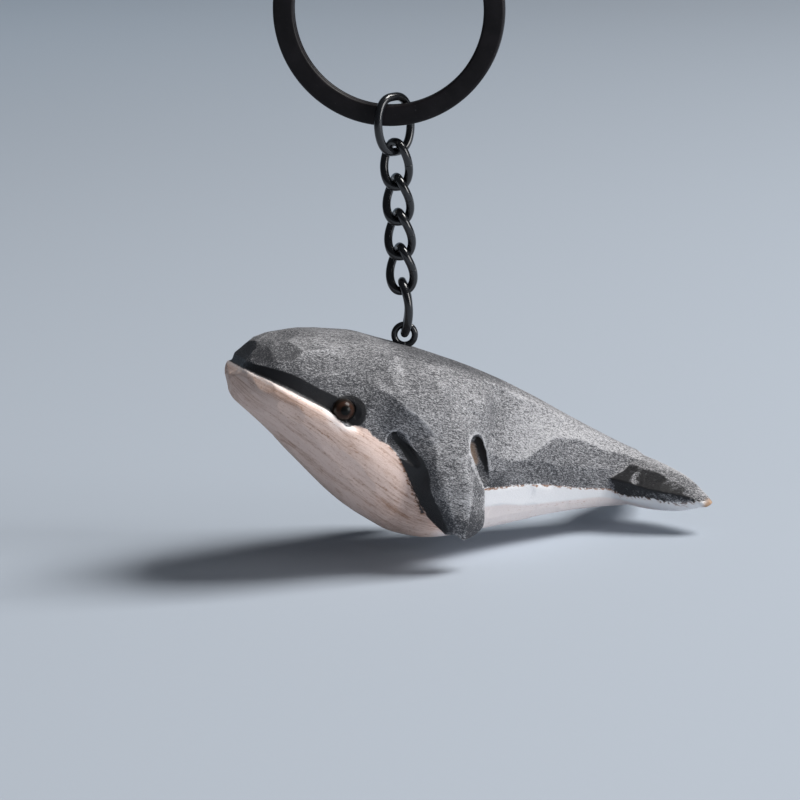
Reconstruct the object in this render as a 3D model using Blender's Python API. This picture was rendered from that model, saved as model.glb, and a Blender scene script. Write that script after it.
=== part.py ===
"""A hand-carved wooden whale hung by a short chain from a split key ring.

The frame is the hanging one: +Z up, the whale's nose towards -X, and the origin on the inside of
the ring's top, where a hook or a finger holds it. Every piece hangs straight down from there.
"""

import math

import bmesh
import bpy
import numpy as np

MM = 0.001

# Split ring: one flat band wound twice round, its two turns lying side by side.
RING_OUTER_RADIUS = 15.0 * MM
BAND_WIDTH = 2.7 * MM
BAND_THICKNESS = 1.0 * MM
BAND_CHAMFER = 0.35 * MM
TURN_GAP = 0.06 * MM
RING_HEADING = math.radians(-27.0)
CROSSOVER_AT = math.radians(50.0)
CROSSOVER_SPAN = math.radians(40.0)
BAND_END_GAP = math.radians(3.0)

# Chain: bent wire links, each with its own heading at the top and at the bottom.
CHAIN_WIRE = 1.15 * MM
WIRE_SEAM = 0.12 * MM
LINK_GAP = 0.12 * MM
RING_LINK_GAP = 0.45 * MM
CONNECTOR_INNER_LENGTH = 6.0 * MM
CONNECTOR_INNER_WIDTH = 4.6 * MM
CONNECTOR_HEADING = math.radians(23.0)
CURB_INNER_LENGTH = 4.71 * MM
CURB_INNER_WIDTH = 2.2 * MM
CURB_COUNT = 4
CURB_TOP_HEADING = math.radians(-95.0)
FIRST_CURB_TOP_HEADING = math.radians(-73.0)
CURB_BOTTOM_HEADING = math.radians(-8.0)
END_LINK_INNER_LENGTH = 5.72 * MM
END_LINK_INNER_WIDTH = 2.2 * MM
END_LINK_HEADING = math.radians(70.0)
END_LINK_BOW = 0.7 * MM
LINK_FULLNESS = 0.72
# The second and fourth curb links swing about their own top wire, the others about the wire above.
OWN_WIRE_LINKS = (2, 4)

# Screw eye: a wire ring on a threaded shank, turned into the whale's back.
EYE_WIRE = 0.85 * MM
EYE_INNER_RADIUS = 0.92 * MM
EYE_SINK = 0.5 * MM
SHANK_LENGTH = 8.0 * MM
SHANK_CORE_RADIUS = 0.42 * MM
THREAD_RADIUS = 0.62 * MM
THREAD_PITCH = 0.8 * MM
THREAD_START = 1.8 * MM
PILOT_CLEARANCE = 0.1 * MM
PILOT_RISE = 2.0 * MM
PILOT_BELOW_POINT = 0.5 * MM

# Whale: sizes in millimetres in its own level frame, from the point where the screw eye enters:
# u runs from the nose to the tail, y to the right side and w up.
WHALE_PITCH = math.radians(20.0)
NOSE_U = -22.4
STOCK_END_U = 37.2
NOSE_ROUND = 7.0
BROW_ROUND = 3.2
NOSE_BLUNTNESS = 2.3
BACK_FULLNESS = 2.5
BELLY_FULLNESS = 2.15
LIP_LEDGE = 0.8
LIP_UNDERCUT = 0.55
LIP_BEVEL = 0.7
LIP_DROP = 0.25
LIP_END_U = -8.5
LIP_FADE = 4.0
SHOULDER_RISE = 1.4
SHOULDER_SLOPE = 4.2
CHEEK_HOLLOW = 0.55

# Stations along the body: its place, then the height or half width there, in millimetres.
BACK_LINE = [(-23, -5.3), (-19, -3.25), (-15, -1.6), (-10.5, -0.5), (-5.5, 0), (0, 0), (5, -0.2),
             (10, -0.7), (15, -1.4), (20, -2.4), (25, -3.6), (30, -4.7), (35, -5.7), (38.5, -6.2)]
BELLY_LINE = [(-23, -9.3), (-20.7, -12.3), (-18, -13.8), (-15, -15.4), (-9, -18.8), (-3.5, -21.8),
              (1, -23.5), (5.5, -24.4), (9.5, -24.2), (13.5, -23.0), (17, -21.5), (21, -19.8),
              (27, -17.2), (33, -15.0), (38.5, -13.4)]
HALF_WIDTH_LINE = [(-23, 8.3), (-19, 9.4), (-15, 10.5), (-10, 11.5), (-4, 11.9), (2, 11.4),
                   (8, 10.1), (14, 8.1), (20, 6.1), (27, 4.3), (33, 3.2), (38.5, 2.6)]
WIDEST_LINE = [(-23, -8.6), (-19, -9.4), (-10, -11.4), (0, -12.2), (8, -12.0), (14, -11.2),
               (20, -10.4), (27, -9.8), (33, -9.6), (38.5, -9.2)]
MOUTH_LINE = [(-23, -7.7), (-19, -8.3), (-15, -9.1), (-11, -10.1), (-9, -10.9), (-6, -11.6),
              (-2, -13.0), (2, -14.6), (8, -15.6), (14.4, -15.2), (18, -13.8), (22, -12.9),
              (27, -12.1), (31, -11.6), (38.5, -11.2)]
# Creases that the knife left: above the lip, ahead of the shoulder, and five along the tail half.
LIP_CREASE_LINE = [(-23, -6.7), (-21.2, -6.2), (-19.7, -6.3), (-17.6, -6.6), (-15.7, -7.0),
                   (-13.7, -7.5), (-11.5, -7.9), (-8, -8.6)]
SHOULDER_CREASE = [(-8.5, -3.9), (-6.6, -5.1), (-4.6, -6.0), (-2.8, -6.9), (-0.5, -8.1), (1.8, -9.8),
                   (2.8, -11.2), (3.5, -13.5), (5.3, -16.2)]
BACK_CREASE = [(8, -1.3), (12.9, -1.9), (19.6, -3.1), (30, -5.3), (38.5, -6.7)]
SIDE_CREASE = [(8, -9.4), (11.7, -10.1), (14, -10.7), (16.6, -10.8), (18.3, -10.2), (20.2, -8.4),
               (22, -7.0), (24.3, -6.5), (26.6, -6.2), (28.7, -6.4), (30.7, -6.9), (32.5, -6.8),
               (34.5, -6.9), (38.5, -7.2)]
LOW_SIDE_CREASE = [(8, -12.4), (14.7, -12.6), (16.7, -11.6), (19.3, -10.9), (23.1, -10.4),
                   (27.4, -9.8), (31.6, -9.2), (38.5, -8.9)]
PAINT_CREASE = [(8, -15.6), (13, -15.2), (15.6, -14.7), (18.3, -14), (22, -13.3), (25.3, -12.9),
                (28.7, -12.6), (32.8, -11.9), (38.5, -11.4)]
KEEL_CREASE = [(8, -19.2), (12, -18.4), (17.6, -16.9), (21.3, -16.4), (24.9, -15.4), (28.7, -14.3),
               (32.2, -13.3), (38.5, -12.7)]

# Flipper on the +Y side: its long edges as (u, y, w) from inside the shoulder to the tip.
FLIPPER_EDGES = [
    # Where its front meets the throat.
    [(-1.8, 6.5, -6.4), (-3.2, 9.3, -8.8), (-3.2, 11.1, -11.6), (-1.0, 11.2, -13.8), (0.9, 10.9, -15.8),
     (2.9, 10.6, -18.1), (5.0, 10.6, -20.1), (7.9, 11.6, -21.9)],
    # Between the front face and its bevel.
    [(-1.5, 8.0, -6.0), (-2.4, 10.7, -8.4), (-2.1, 11.6, -10.8), (0.2, 12.1, -12.0), (2.4, 12.6, -14.0),
     (3.6, 13.0, -16.6), (5.6, 13.1, -18.9), (7.6, 12.9, -21.3)],
    # Between the bevel and the outer face.
    [(-0.5, 8.5, -5.6), (-1.0, 11.3, -7.9), (1.6, 12.2, -9.7), (2.9, 12.9, -11.4), (3.5, 13.4, -13.5),
     (5.3, 13.9, -16.2), (6.9, 13.9, -18.7), (8.6, 13.3, -21.4)],
    # Between the outer face and the rear one.
    [(5.0, 8.5, -4.6), (6.0, 11.2, -6.6), (6.6, 12.5, -9.1), (7.3, 13.3, -11.5), (8.0, 13.9, -13.9),
     (8.9, 14.2, -16.6), (9.4, 14.1, -19.4), (9.9, 13.5, -21.9)],
    # Rear edge.
    [(6.4, 7.5, -5.2), (8.0, 9.4, -7.4), (9.2, 10.6, -9.4), (10.2, 11.4, -11.4), (11.2, 12.0, -14.2),
     (11.9, 12.4, -16.8), (12.4, 12.8, -19.2), (11.4, 12.7, -21.2)],
    # Rear and front of its inner face.
    [(6.0, 6.0, -5.2), (7.6, 7.9, -7.2), (8.8, 9.1, -9.2), (9.8, 9.8, -11.2), (10.8, 10.4, -14.0),
     (11.5, 10.9, -16.6), (12.0, 11.4, -19.0), (11.0, 11.5, -20.9)],
    [(-1.2, 5.5, -6.1), (-2.6, 7.9, -8.5), (-2.6, 9.5, -11.3), (-0.4, 9.6, -13.5), (1.5, 9.3, -15.5),
     (3.5, 9.0, -17.8), (5.6, 9.1, -19.8), (8.2, 10.7, -21.5)],
]
NOTCH_PLACE = (9.9, 11.1, -10.4)
NOTCH_RADIUS = 1.7

# Fluke: leading edge, trailing edge, upper and lower height along its reach, on the +Y side.
FLUKE_REACH = 11.6
FLUKE_LEADING = [(0, 30.0), (2.8, 32.2), (6, 35.2), (9, 38.8), (11.6, 42.6)]
FLUKE_TRAILING = [(0, 40.8), (4, 42.8), (8, 44.2), (10.6, 44.6), (11.6, 44.2)]
FLUKE_UPPER = [(0, -6.2), (4, -6.5), (8, -7.25), (10.6, -8.5), (11.6, -9.3)]
FLUKE_LOWER = [(0, -13.6), (4, -13.1), (8, -12.0), (10.6, -10.6), (11.6, -10.2)]
# Corners of its section: along the chord from the leading edge, then up through its thickness.
FLUKE_SECTION = [(0.0, 0.42), (0.3, 0.8), (0.62, 1.0), (1.0, 0.6), (0.62, 0.0), (0.25, 0.08)]

# Glass eyes in drilled sockets, each with a carved corner behind it.
EYE_U = -10.0
EYE_W = -9.35
EYE_BEAD_RADIUS = 1.45 * MM
EYE_PROUD = 0.4 * MM
SOCKET_CLEARANCE = 0.12 * MM
EYE_CORNER_SHIFT = 1.15
EYE_CORNER_DROP = 0.35
EYE_CORNER_RADIUS = 1.5 * MM

# Fineness of the meshes.
BAND_STEPS = 84
WIRE_STEPS = 30
WIRE_RESOLUTION = 2
EYE_STEPS = 20
SHANK_SIDES = 12
SLOT_SIDES = 28
EYE_WIRE_SIDES = 8
BEAD_SIDES = 20
BEAD_RINGS = 12
BEAD_POLE = 0.12
BODY_STATIONS = 46
BODY_CROWDING = 1.25
BODY_START = 0.02
BODY_SHARP_ANGLE = math.radians(22.0)
BACK_ROWS = 17
BELLY_ROWS = 13
FLIPPER_STATIONS = 15
FLUKE_STATIONS = 7


def clear_scene():
    for obj in list(bpy.data.objects):
        bpy.data.objects.remove(obj)


def make_material(name, colour, roughness, metallic=0.0):
    material = bpy.data.materials.new(name)
    material.use_nodes = True
    shader = material.node_tree.nodes["Principled BSDF"]
    shader.inputs["Base Color"].default_value = (*colour, 1.0)
    shader.inputs["Roughness"].default_value = roughness
    shader.inputs["Metallic"].default_value = metallic
    return material


def mesh_object(name, points, faces, material):
    """A mesh object from an array of points in metres and a list of faces, turned outwards."""
    mesh = bpy.data.meshes.new(name)
    mesh.from_pydata([tuple(point) for point in points], [], faces)
    mesh.materials.append(material)
    shape = bmesh.new()
    shape.from_mesh(mesh)
    bmesh.ops.recalc_face_normals(shape, faces=shape.faces)
    shape.to_mesh(mesh)
    shape.free()
    obj = bpy.data.objects.new(name, mesh)
    bpy.context.scene.collection.objects.link(obj)
    return obj


def smooth(obj, angle=math.radians(35.0)):
    obj.data.shade_smooth()
    obj.data.set_sharp_from_angle(angle=angle)
    return obj


def empty(name, location, parent=None):
    obj = bpy.data.objects.new(name, None)
    obj.empty_display_size = 3.0 * MM
    bpy.context.scene.collection.objects.link(obj)
    hang(obj, parent, location)
    return obj


def hang(obj, parent, location):
    """Puts the object under its parent, with its origin at a place given in the hanging frame."""
    offset = np.array(location, float)
    above = parent
    while above is not None:
        offset -= np.array(above.location)
        above = above.parent
    obj.parent = parent
    obj.location = offset


def as_helper(obj):
    """Keeps a cutter or a joined shape out of the render."""
    obj.hide_render = True
    obj.display_type = "WIRE"
    return obj


def add_boolean(obj, other, operation):
    modifier = obj.modifiers.new(f"{operation.lower()} {other.name}", "BOOLEAN")
    modifier.operation = operation
    modifier.object = other
    modifier.solver = "EXACT"


def along(stations, x):
    """A smooth line through hand-set stations: cubic pieces with slopes that never overshoot."""
    xs, ys = np.array(stations, float).T
    x = np.clip(np.asarray(x, float), xs[0], xs[-1])
    steps = np.diff(xs)
    slopes = np.diff(ys) / steps
    inner = np.where(slopes[1:] * slopes[:-1] > 0, (slopes[1:] + slopes[:-1]) / 2, 0.0)
    tangents = np.concatenate([slopes[:1], inner, slopes[-1:]])
    k = np.clip(np.searchsorted(xs, x, side="right") - 1, 0, len(steps) - 1)
    t = (x - xs[k]) / steps[k]
    start = ys[k] * (1 + 2 * t) * (1 - t) ** 2 + ys[k + 1] * t**2 * (3 - 2 * t)
    lean = steps[k] * (tangents[k] * t * (1 - t) ** 2 - tangents[k + 1] * t**2 * (1 - t))
    return start + lean


def ease(t):
    """0 below 0, 1 above 1, and a smooth step between."""
    t = np.clip(t, 0.0, 1.0)
    return t * t * (3 - 2 * t)


def bell(x, middle, width):
    return np.exp(-(((x - middle) / width) ** 2))


def sweep(rings, start_faces=None, end_faces=None):
    """Faces that join equal closed rings of points one after another. Each end takes one flat face,
    or the faces given for it."""
    count, sides = rings.shape[:2]
    faces = []
    for k in range(count - 1):
        for j in range(sides):
            nxt = (j + 1) % sides
            faces.append((k * sides + j, k * sides + nxt, (k + 1) * sides + nxt, (k + 1) * sides + j))
    last = (count - 1) * sides
    faces += [tuple(range(sides - 1, -1, -1))] if start_faces is None else start_faces
    faces += [tuple(last + j for j in range(sides))] if end_faces is None else end_faces
    return faces


def wire_object(name, points, wire, material, cyclic=False, resolution=WIRE_RESOLUTION):
    """Round wire along a list of points, as a curve with a bevel and filled ends."""
    curve = bpy.data.curves.new(name, "CURVE")
    curve.dimensions = "3D"
    curve.bevel_depth = wire / 2
    curve.bevel_resolution = resolution
    curve.use_fill_caps = not cyclic
    spline = curve.splines.new("POLY")
    spline.points.add(len(points) - 1)
    spline.points.foreach_set("co", np.c_[points, np.ones(len(points))].ravel())
    spline.use_cyclic_u = cyclic
    curve.materials.append(material)
    obj = bpy.data.objects.new(name, curve)
    bpy.context.scene.collection.objects.link(obj)
    return obj


def band_section():
    """Corners of the flat band's section: outwards from the ring's middle, then across."""
    width, thick, cut = BAND_WIDTH / 2, BAND_THICKNESS / 2, BAND_CHAMFER
    quarter = [(width, thick - cut), (width - cut, thick)]
    upper = quarter + [(-r, a) for r, a in reversed(quarter)]
    return np.array(upper + [(r, -a) for r, a in reversed(upper)])


def make_ring(material):
    """Two turns of flat band: it steps across to the second layer where neither end lies."""
    whole = 4 * math.pi - CROSSOVER_SPAN - BAND_END_GAP
    turn = np.linspace(0, whole, BAND_STEPS)
    step = np.clip((turn - whole / 2) / CROSSOVER_SPAN + 0.5, 0, 1)
    layer = (BAND_THICKNESS + TURN_GAP) * (step * step * (3 - 2 * step) - 0.5)
    angle = turn + CROSSOVER_AT + (CROSSOVER_SPAN + BAND_END_GAP) / 2
    section = band_section()
    radius = RING_OUTER_RADIUS - BAND_WIDTH / 2 + section[None, :, 0]
    across = layer[:, None] + section[None, :, 1]
    flat = radius * np.cos(angle)[:, None]
    rings = np.stack([flat * math.cos(RING_HEADING) - across * math.sin(RING_HEADING),
                      flat * math.sin(RING_HEADING) + across * math.cos(RING_HEADING),
                      radius * np.sin(angle)[:, None]], axis=-1)
    obj = mesh_object("split_ring", rings.reshape(-1, 3), sweep(rings), material)
    obj.location = (0, 0, -(RING_OUTER_RADIUS - BAND_WIDTH))
    return smooth(obj)


def link_points(inner_length, inner_width, top_heading, bottom_heading, bow=0.0):
    """The wire's middle line round a link, centred on its own middle, from one side of its seam
    to the other: a full oval whose heading turns evenly from bottom to top, bowed a little sideways."""
    half_length = (inner_length + CHAIN_WIRE) / 2
    half_width = (inner_width + CHAIN_WIRE) / 2
    seam = WIRE_SEAM / 2 / half_length
    turn = np.linspace(seam, 2 * math.pi - seam, WIRE_STEPS)
    side, rise = np.cos(turn), np.sin(turn)
    out = half_width * np.sign(side) * np.abs(side) ** LINK_FULLNESS
    heading = (top_heading + bottom_heading) / 2 + (top_heading - bottom_heading) / 2 * rise
    bent = bow * (1 - rise**2)
    x = out * np.cos(heading) + bent * np.sin(heading)
    y = out * np.sin(heading) - bent * np.cos(heading)
    return np.stack([x, y, half_length * rise], axis=1)


def make_link(name, link, material):
    """A link with its origin on its joint. link holds its shape and its heights."""
    points = link_points(*link["shape"]) + [0, 0, link["middle"] - link["joint"]]
    return wire_object(name, points, CHAIN_WIRE, material)


def chain_links():
    """Each link's shape, inner top, middle, inner bottom and joint height, from the ring down."""
    curb = (CURB_INNER_LENGTH, CURB_INNER_WIDTH, CURB_TOP_HEADING, CURB_BOTTOM_HEADING)
    first = curb[:2] + (FIRST_CURB_TOP_HEADING, CURB_BOTTOM_HEADING)
    connector = (CONNECTOR_INNER_LENGTH, CONNECTOR_INNER_WIDTH, CONNECTOR_HEADING, CONNECTOR_HEADING)
    end = (END_LINK_INNER_LENGTH, END_LINK_INNER_WIDTH, END_LINK_HEADING, END_LINK_HEADING, END_LINK_BOW)
    names = ["connector_link", *[f"curb_link_{k + 1}" for k in range(CURB_COUNT)], "end_link"]
    shapes = [connector, first, *[curb] * (CURB_COUNT - 1), end]
    ring_floor = -2 * (RING_OUTER_RADIUS - BAND_WIDTH)
    top = ring_floor + RING_LINK_GAP
    joint = ring_floor - BAND_WIDTH / 2
    links = {}
    for k, (name, shape) in enumerate(zip(names, shapes)):
        bottom = top - shape[0]
        if k in OWN_WIRE_LINKS:
            joint = top + CHAIN_WIRE / 2
        links[name] = {"shape": shape, "middle": (top + bottom) / 2, "bottom": bottom, "joint": joint}
        joint = bottom - CHAIN_WIRE / 2
        top = bottom + LINK_GAP
    return links


def shank_profile():
    """Radius and height down the threaded shank: plain under the ring, then ridges, then a point."""
    profile = [(SHANK_CORE_RADIUS, 0.0), (SHANK_CORE_RADIUS, -THREAD_START)]
    height = THREAD_START
    while height + THREAD_PITCH < SHANK_LENGTH - THREAD_PITCH:
        profile.append((THREAD_RADIUS, -(height + THREAD_PITCH / 2)))
        profile.append((SHANK_CORE_RADIUS, -(height + THREAD_PITCH)))
        height += THREAD_PITCH
    profile.append((SHANK_CORE_RADIUS / 3, -SHANK_LENGTH))
    return profile


def turned(profile, sides):
    """Rings of points for a profile turned about Z, from its top down, faces outwards."""
    angle = np.linspace(0, -2 * math.pi, sides, endpoint=False)
    return np.array([[(r * math.cos(a), r * math.sin(a), z) for a in angle] for r, z in profile])


def eye_middle_height(links):
    return links["end_link"]["bottom"] + LINK_GAP - EYE_INNER_RADIUS


def eye_ring_points(steps):
    angle = np.linspace(0, 2 * math.pi, steps, endpoint=False)
    radius = EYE_INNER_RADIUS + EYE_WIRE / 2
    across = END_LINK_HEADING - math.pi / 2
    flat = radius * np.cos(angle)
    return np.stack([flat * math.cos(across), flat * math.sin(across), radius * np.sin(angle)], axis=1)


def tube_mesh(name, points, wire, material, sides=EYE_WIRE_SIDES):
    """Closed round wire as a mesh, for a Boolean: its points lie on a circle in an upright plane."""
    outward = points / np.linalg.norm(points, axis=1)[:, None]
    normal = np.array([math.cos(END_LINK_HEADING), math.sin(END_LINK_HEADING), 0.0])
    angle = np.linspace(0, 2 * math.pi, sides, endpoint=False)
    rings = points[:, None] + wire / 2 * (np.cos(angle)[None, :, None] * outward[:, None]
                                          + np.sin(angle)[None, :, None] * normal)
    rings = np.concatenate([rings, rings[:1]])
    faces = [tuple(i % (len(points) * sides) for i in face) for face in sweep(rings, [], [])]
    return mesh_object(name, rings[:-1].reshape(-1, 3), faces, material)


def make_screw_eye(parent, middle, material):
    """The wire ring and its threaded shank, as one piece with its origin at the ring's middle."""
    ring = tube_mesh("screw_eye", eye_ring_points(EYE_STEPS), EYE_WIRE, material)
    hang(ring, parent, (0, 0, middle))
    rings = turned(shank_profile(), SHANK_SIDES)
    shank = mesh_object("shank", rings.reshape(-1, 3), sweep(rings), material)
    hang(as_helper(shank), parent, (0, 0, middle - EYE_INNER_RADIUS - EYE_WIRE / 2))
    add_boolean(ring, shank, "UNION")
    return ring


def make_eye_slot(parent, middle, material):
    """The slot that the wire ring presses into the back: a disc lying in the ring's own plane."""
    radius = EYE_INNER_RADIUS + EYE_WIRE + PILOT_CLEARANCE
    half = EYE_WIRE / 2 + PILOT_CLEARANCE
    rings = turned([(radius, half), (radius, -half)], SLOT_SIDES)
    slot = mesh_object("eye_slot", rings.reshape(-1, 3), sweep(rings), material)
    hang(slot, parent, (0, 0, middle))
    slot.rotation_euler = (0, math.pi / 2, END_LINK_HEADING)
    return slot


def round_nose(u, length):
    """From 0 at the tip of the nose to 1 where its rounding ends."""
    t = np.clip((u - NOSE_U) / length, 0, 1)
    return (1 - (1 - t) ** NOSE_BLUNTNESS) ** (1 / NOSE_BLUNTNESS)


def lip_amount(u):
    """1 along the mouth, fading to 0 behind the eye."""
    return 1 - ease((u - LIP_END_U) / LIP_FADE + 0.5)


def trunk_heights(u):
    """Back, mouth, widest and belly heights of the trunk at a place along it."""
    mouth = along(MOUTH_LINE, u)
    back = mouth + (along(BACK_LINE, u) - mouth) * round_nose(u, BROW_ROUND)
    return back, mouth, along(WIDEST_LINE, u), along(BELLY_LINE, u)


def trunk_oval(u, w):
    """Half width of the uncut trunk: a full oval above its widest height and another below."""
    back, _, widest, belly = trunk_heights(u)
    above = np.clip((w - widest) / (back - widest), 0, 1)
    below = np.clip((widest - w) / (widest - belly), 0, 1)
    half = along(HALF_WIDTH_LINE, u) * round_nose(u, NOSE_ROUND)
    return half * ((1 - above**BACK_FULLNESS) ** (1 / BACK_FULLNESS)
                   * (1 - below**BELLY_FULLNESS) ** (1 / BELLY_FULLNESS))


def shoulder_swell(u, w):
    """The shoulder stands proud behind its crease, most where the flipper grows out of it, and dies
    away up the back. Ahead of the crease the wood falls in a flat slope to a hollow cheek."""
    height = along(SHOULDER_CREASE, u)
    lean = (along(SHOULDER_CREASE, u + 0.1) - height) / 0.1
    ahead = (height - w) / np.sqrt(1 + lean**2)
    strength = ease((u + 8.5) / 6.0) * (1 - ease((u - 5.0) / 8.0))
    knob = bell(u, 4.5, 4.0) * bell(w, -9.5, 4.5)
    behind = SHOULDER_RISE * np.maximum(bell(np.minimum(ahead, 0), 0, 5.0), knob)
    slope = SHOULDER_RISE - (SHOULDER_RISE + CHEEK_HOLLOW) * np.clip(ahead / SHOULDER_SLOPE, 0, 1)
    hollow = -CHEEK_HOLLOW * (1 - ease((ahead - SHOULDER_SLOPE) / 5.0))
    front = np.where(ahead > SHOULDER_SLOPE, hollow, slope)
    return strength * np.where(ahead > 0, front, behind)


def trunk_side(u, w):
    """Half width of the carved trunk: the oval with the shoulder on it, cut to straight chords
    between the creases that run along the tail half."""
    side = trunk_oval(u, w)
    creases = [along(line, u) for line in (BACK_CREASE, SIDE_CREASE, LOW_SIDE_CREASE, PAINT_CREASE,
                                           KEEL_CREASE)]
    flat = side
    for high, low in zip(creases, creases[1:]):
        share = (high - w) / (high - low)
        chord = trunk_oval(u, high) * (1 - share) + trunk_oval(u, low) * share
        flat = np.where((share >= 0) & (share < 1), chord, flat)
    flattened = ease((u - 9.5) / 3.5)
    side = side * (1 - flattened) + flat * flattened
    return np.maximum(side + shoulder_swell(u, w) * ease(side / 3.0), 0)


def body_half_section(u):
    """Half of the trunk's section at a place along it, as (u, y, w) rows from back to belly.

    The rows part at the mouth's line. On the head the upper ones step in there, and back at the
    nose, with an undercut below the lip crease, and the lower ones start with a bevel.
    """
    back, mouth, _, belly = trunk_heights(u)
    lip, rounding = lip_amount(u), round_nose(u, NOSE_ROUND)
    upper_w = mouth + (back - mouth) * np.cos(np.linspace(0, math.pi / 2, BACK_ROWS))
    crease = along(LIP_CREASE_LINE, u)
    undercut = LIP_UNDERCUT * np.clip((crease - upper_w) / (crease - mouth), 0, 1)
    upper_y = np.maximum(trunk_side(u, upper_w) - lip * (LIP_LEDGE + undercut) * rounding, 0)
    lip_w = mouth - LIP_DROP
    lower_w = belly + (lip_w - belly) * (1 - np.sin(np.linspace(0, math.pi / 2, BELLY_ROWS)))
    bevel = LIP_BEVEL * np.clip(1 - (lip_w - lower_w) / LIP_BEVEL, 0, 1) * lip * rounding
    lower_y = np.maximum(trunk_side(u, lower_w) - bevel, 0)
    set_back = lip * LIP_LEDGE * (1 - rounding)
    upper = np.stack([np.full(BACK_ROWS, u + set_back), upper_y, upper_w], axis=1)
    lower = np.stack([np.full(BELLY_ROWS, u), lower_y, lower_w], axis=1)
    return np.concatenate([upper, lower])


def nose_faces(sides, upper_rows):
    """The nose's end: the upper jaw, the ledge of the lip under it, and the lower jaw."""
    upper = [*range(upper_rows), *range(sides - upper_rows + 1, sides)]
    ledge = [upper_rows - 1, upper_rows, sides - upper_rows, sides - upper_rows + 1]
    lower = range(upper_rows, sides - upper_rows + 1)
    return [tuple(upper[::-1]), tuple(ledge), tuple(lower)[::-1]]


def make_body(parent, seat, material):
    """The trunk from nose to tail stock: half sections mirrored, joined along back and belly."""
    spacing = np.linspace(0, 1, BODY_STATIONS)
    places = NOSE_U + (STOCK_END_U - NOSE_U) * spacing**BODY_CROWDING
    places[0] = NOSE_U + BODY_START
    rings = []
    for u in places:
        half = body_half_section(u)
        half[0, 1] = half[-1, 1] = 0.0
        mirrored = half[-2:0:-1] * (1, -1, 1)
        rings.append(np.concatenate([half, mirrored]))
    rings = np.array(rings) * MM
    faces = sweep(rings, start_faces=nose_faces(rings.shape[1], BACK_ROWS))
    obj = mesh_object("whale_body", rings.reshape(-1, 3), faces, material)
    hang(obj, parent, seat)
    obj.rotation_euler = (0, WHALE_PITCH, 0)
    return obj


def flipper_rings(side):
    """Seven-cornered sections carried from the shoulder to the tip. side is 1 or -1."""
    edges = np.array(FLIPPER_EDGES, float)
    knots = np.linspace(0, 1, edges.shape[1])
    s = np.linspace(0, 1, FLIPPER_STATIONS)
    rings = [np.stack([along(np.stack([knots, edge[:, axis]], axis=1), s) for axis in range(3)], axis=1)
             for edge in edges]
    return np.stack(rings, axis=1) * (1, side, 1) * MM


def fluke_rings(side):
    """Lens-shaped sections carried out from the middle of the tail to the fluke's tip."""
    y = np.linspace(0, FLUKE_REACH, FLUKE_STATIONS)
    front, rear = along(FLUKE_LEADING, y), along(FLUKE_TRAILING, y)
    top, low = along(FLUKE_UPPER, y), along(FLUKE_LOWER, y)
    rings = np.array([[(front[k] + (rear[k] - front[k]) * a, y[k], low[k] + (top[k] - low[k]) * b)
                       for a, b in FLUKE_SECTION] for k in range(FLUKE_STATIONS)])
    return rings * (1, side, 1) * MM


def helper_solid(name, rings, parent, seat, material):
    """A lofted helper in the whale's own frame."""
    obj = mesh_object(name, rings.reshape(-1, 3), sweep(rings), material)
    hang(as_helper(obj), parent, seat)
    obj.rotation_euler = (0, WHALE_PITCH, 0)
    return obj


def ball(name, middle, radius, material):
    """A round ball as turned rings about Z, with small flat poles, at a place in its parent's frame."""
    angle = np.linspace(BEAD_POLE, math.pi - BEAD_POLE, BEAD_RINGS)
    profile = [(radius * math.sin(a), radius * math.cos(a)) for a in angle]
    points = turned(profile, BEAD_SIDES)
    return mesh_object(name, points.reshape(-1, 3) + np.array(middle), sweep(points), material)


def place_in_whale(obj, parent, seat):
    hang(obj, parent, seat)
    obj.rotation_euler = (0, WHALE_PITCH, 0)
    return obj


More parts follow.
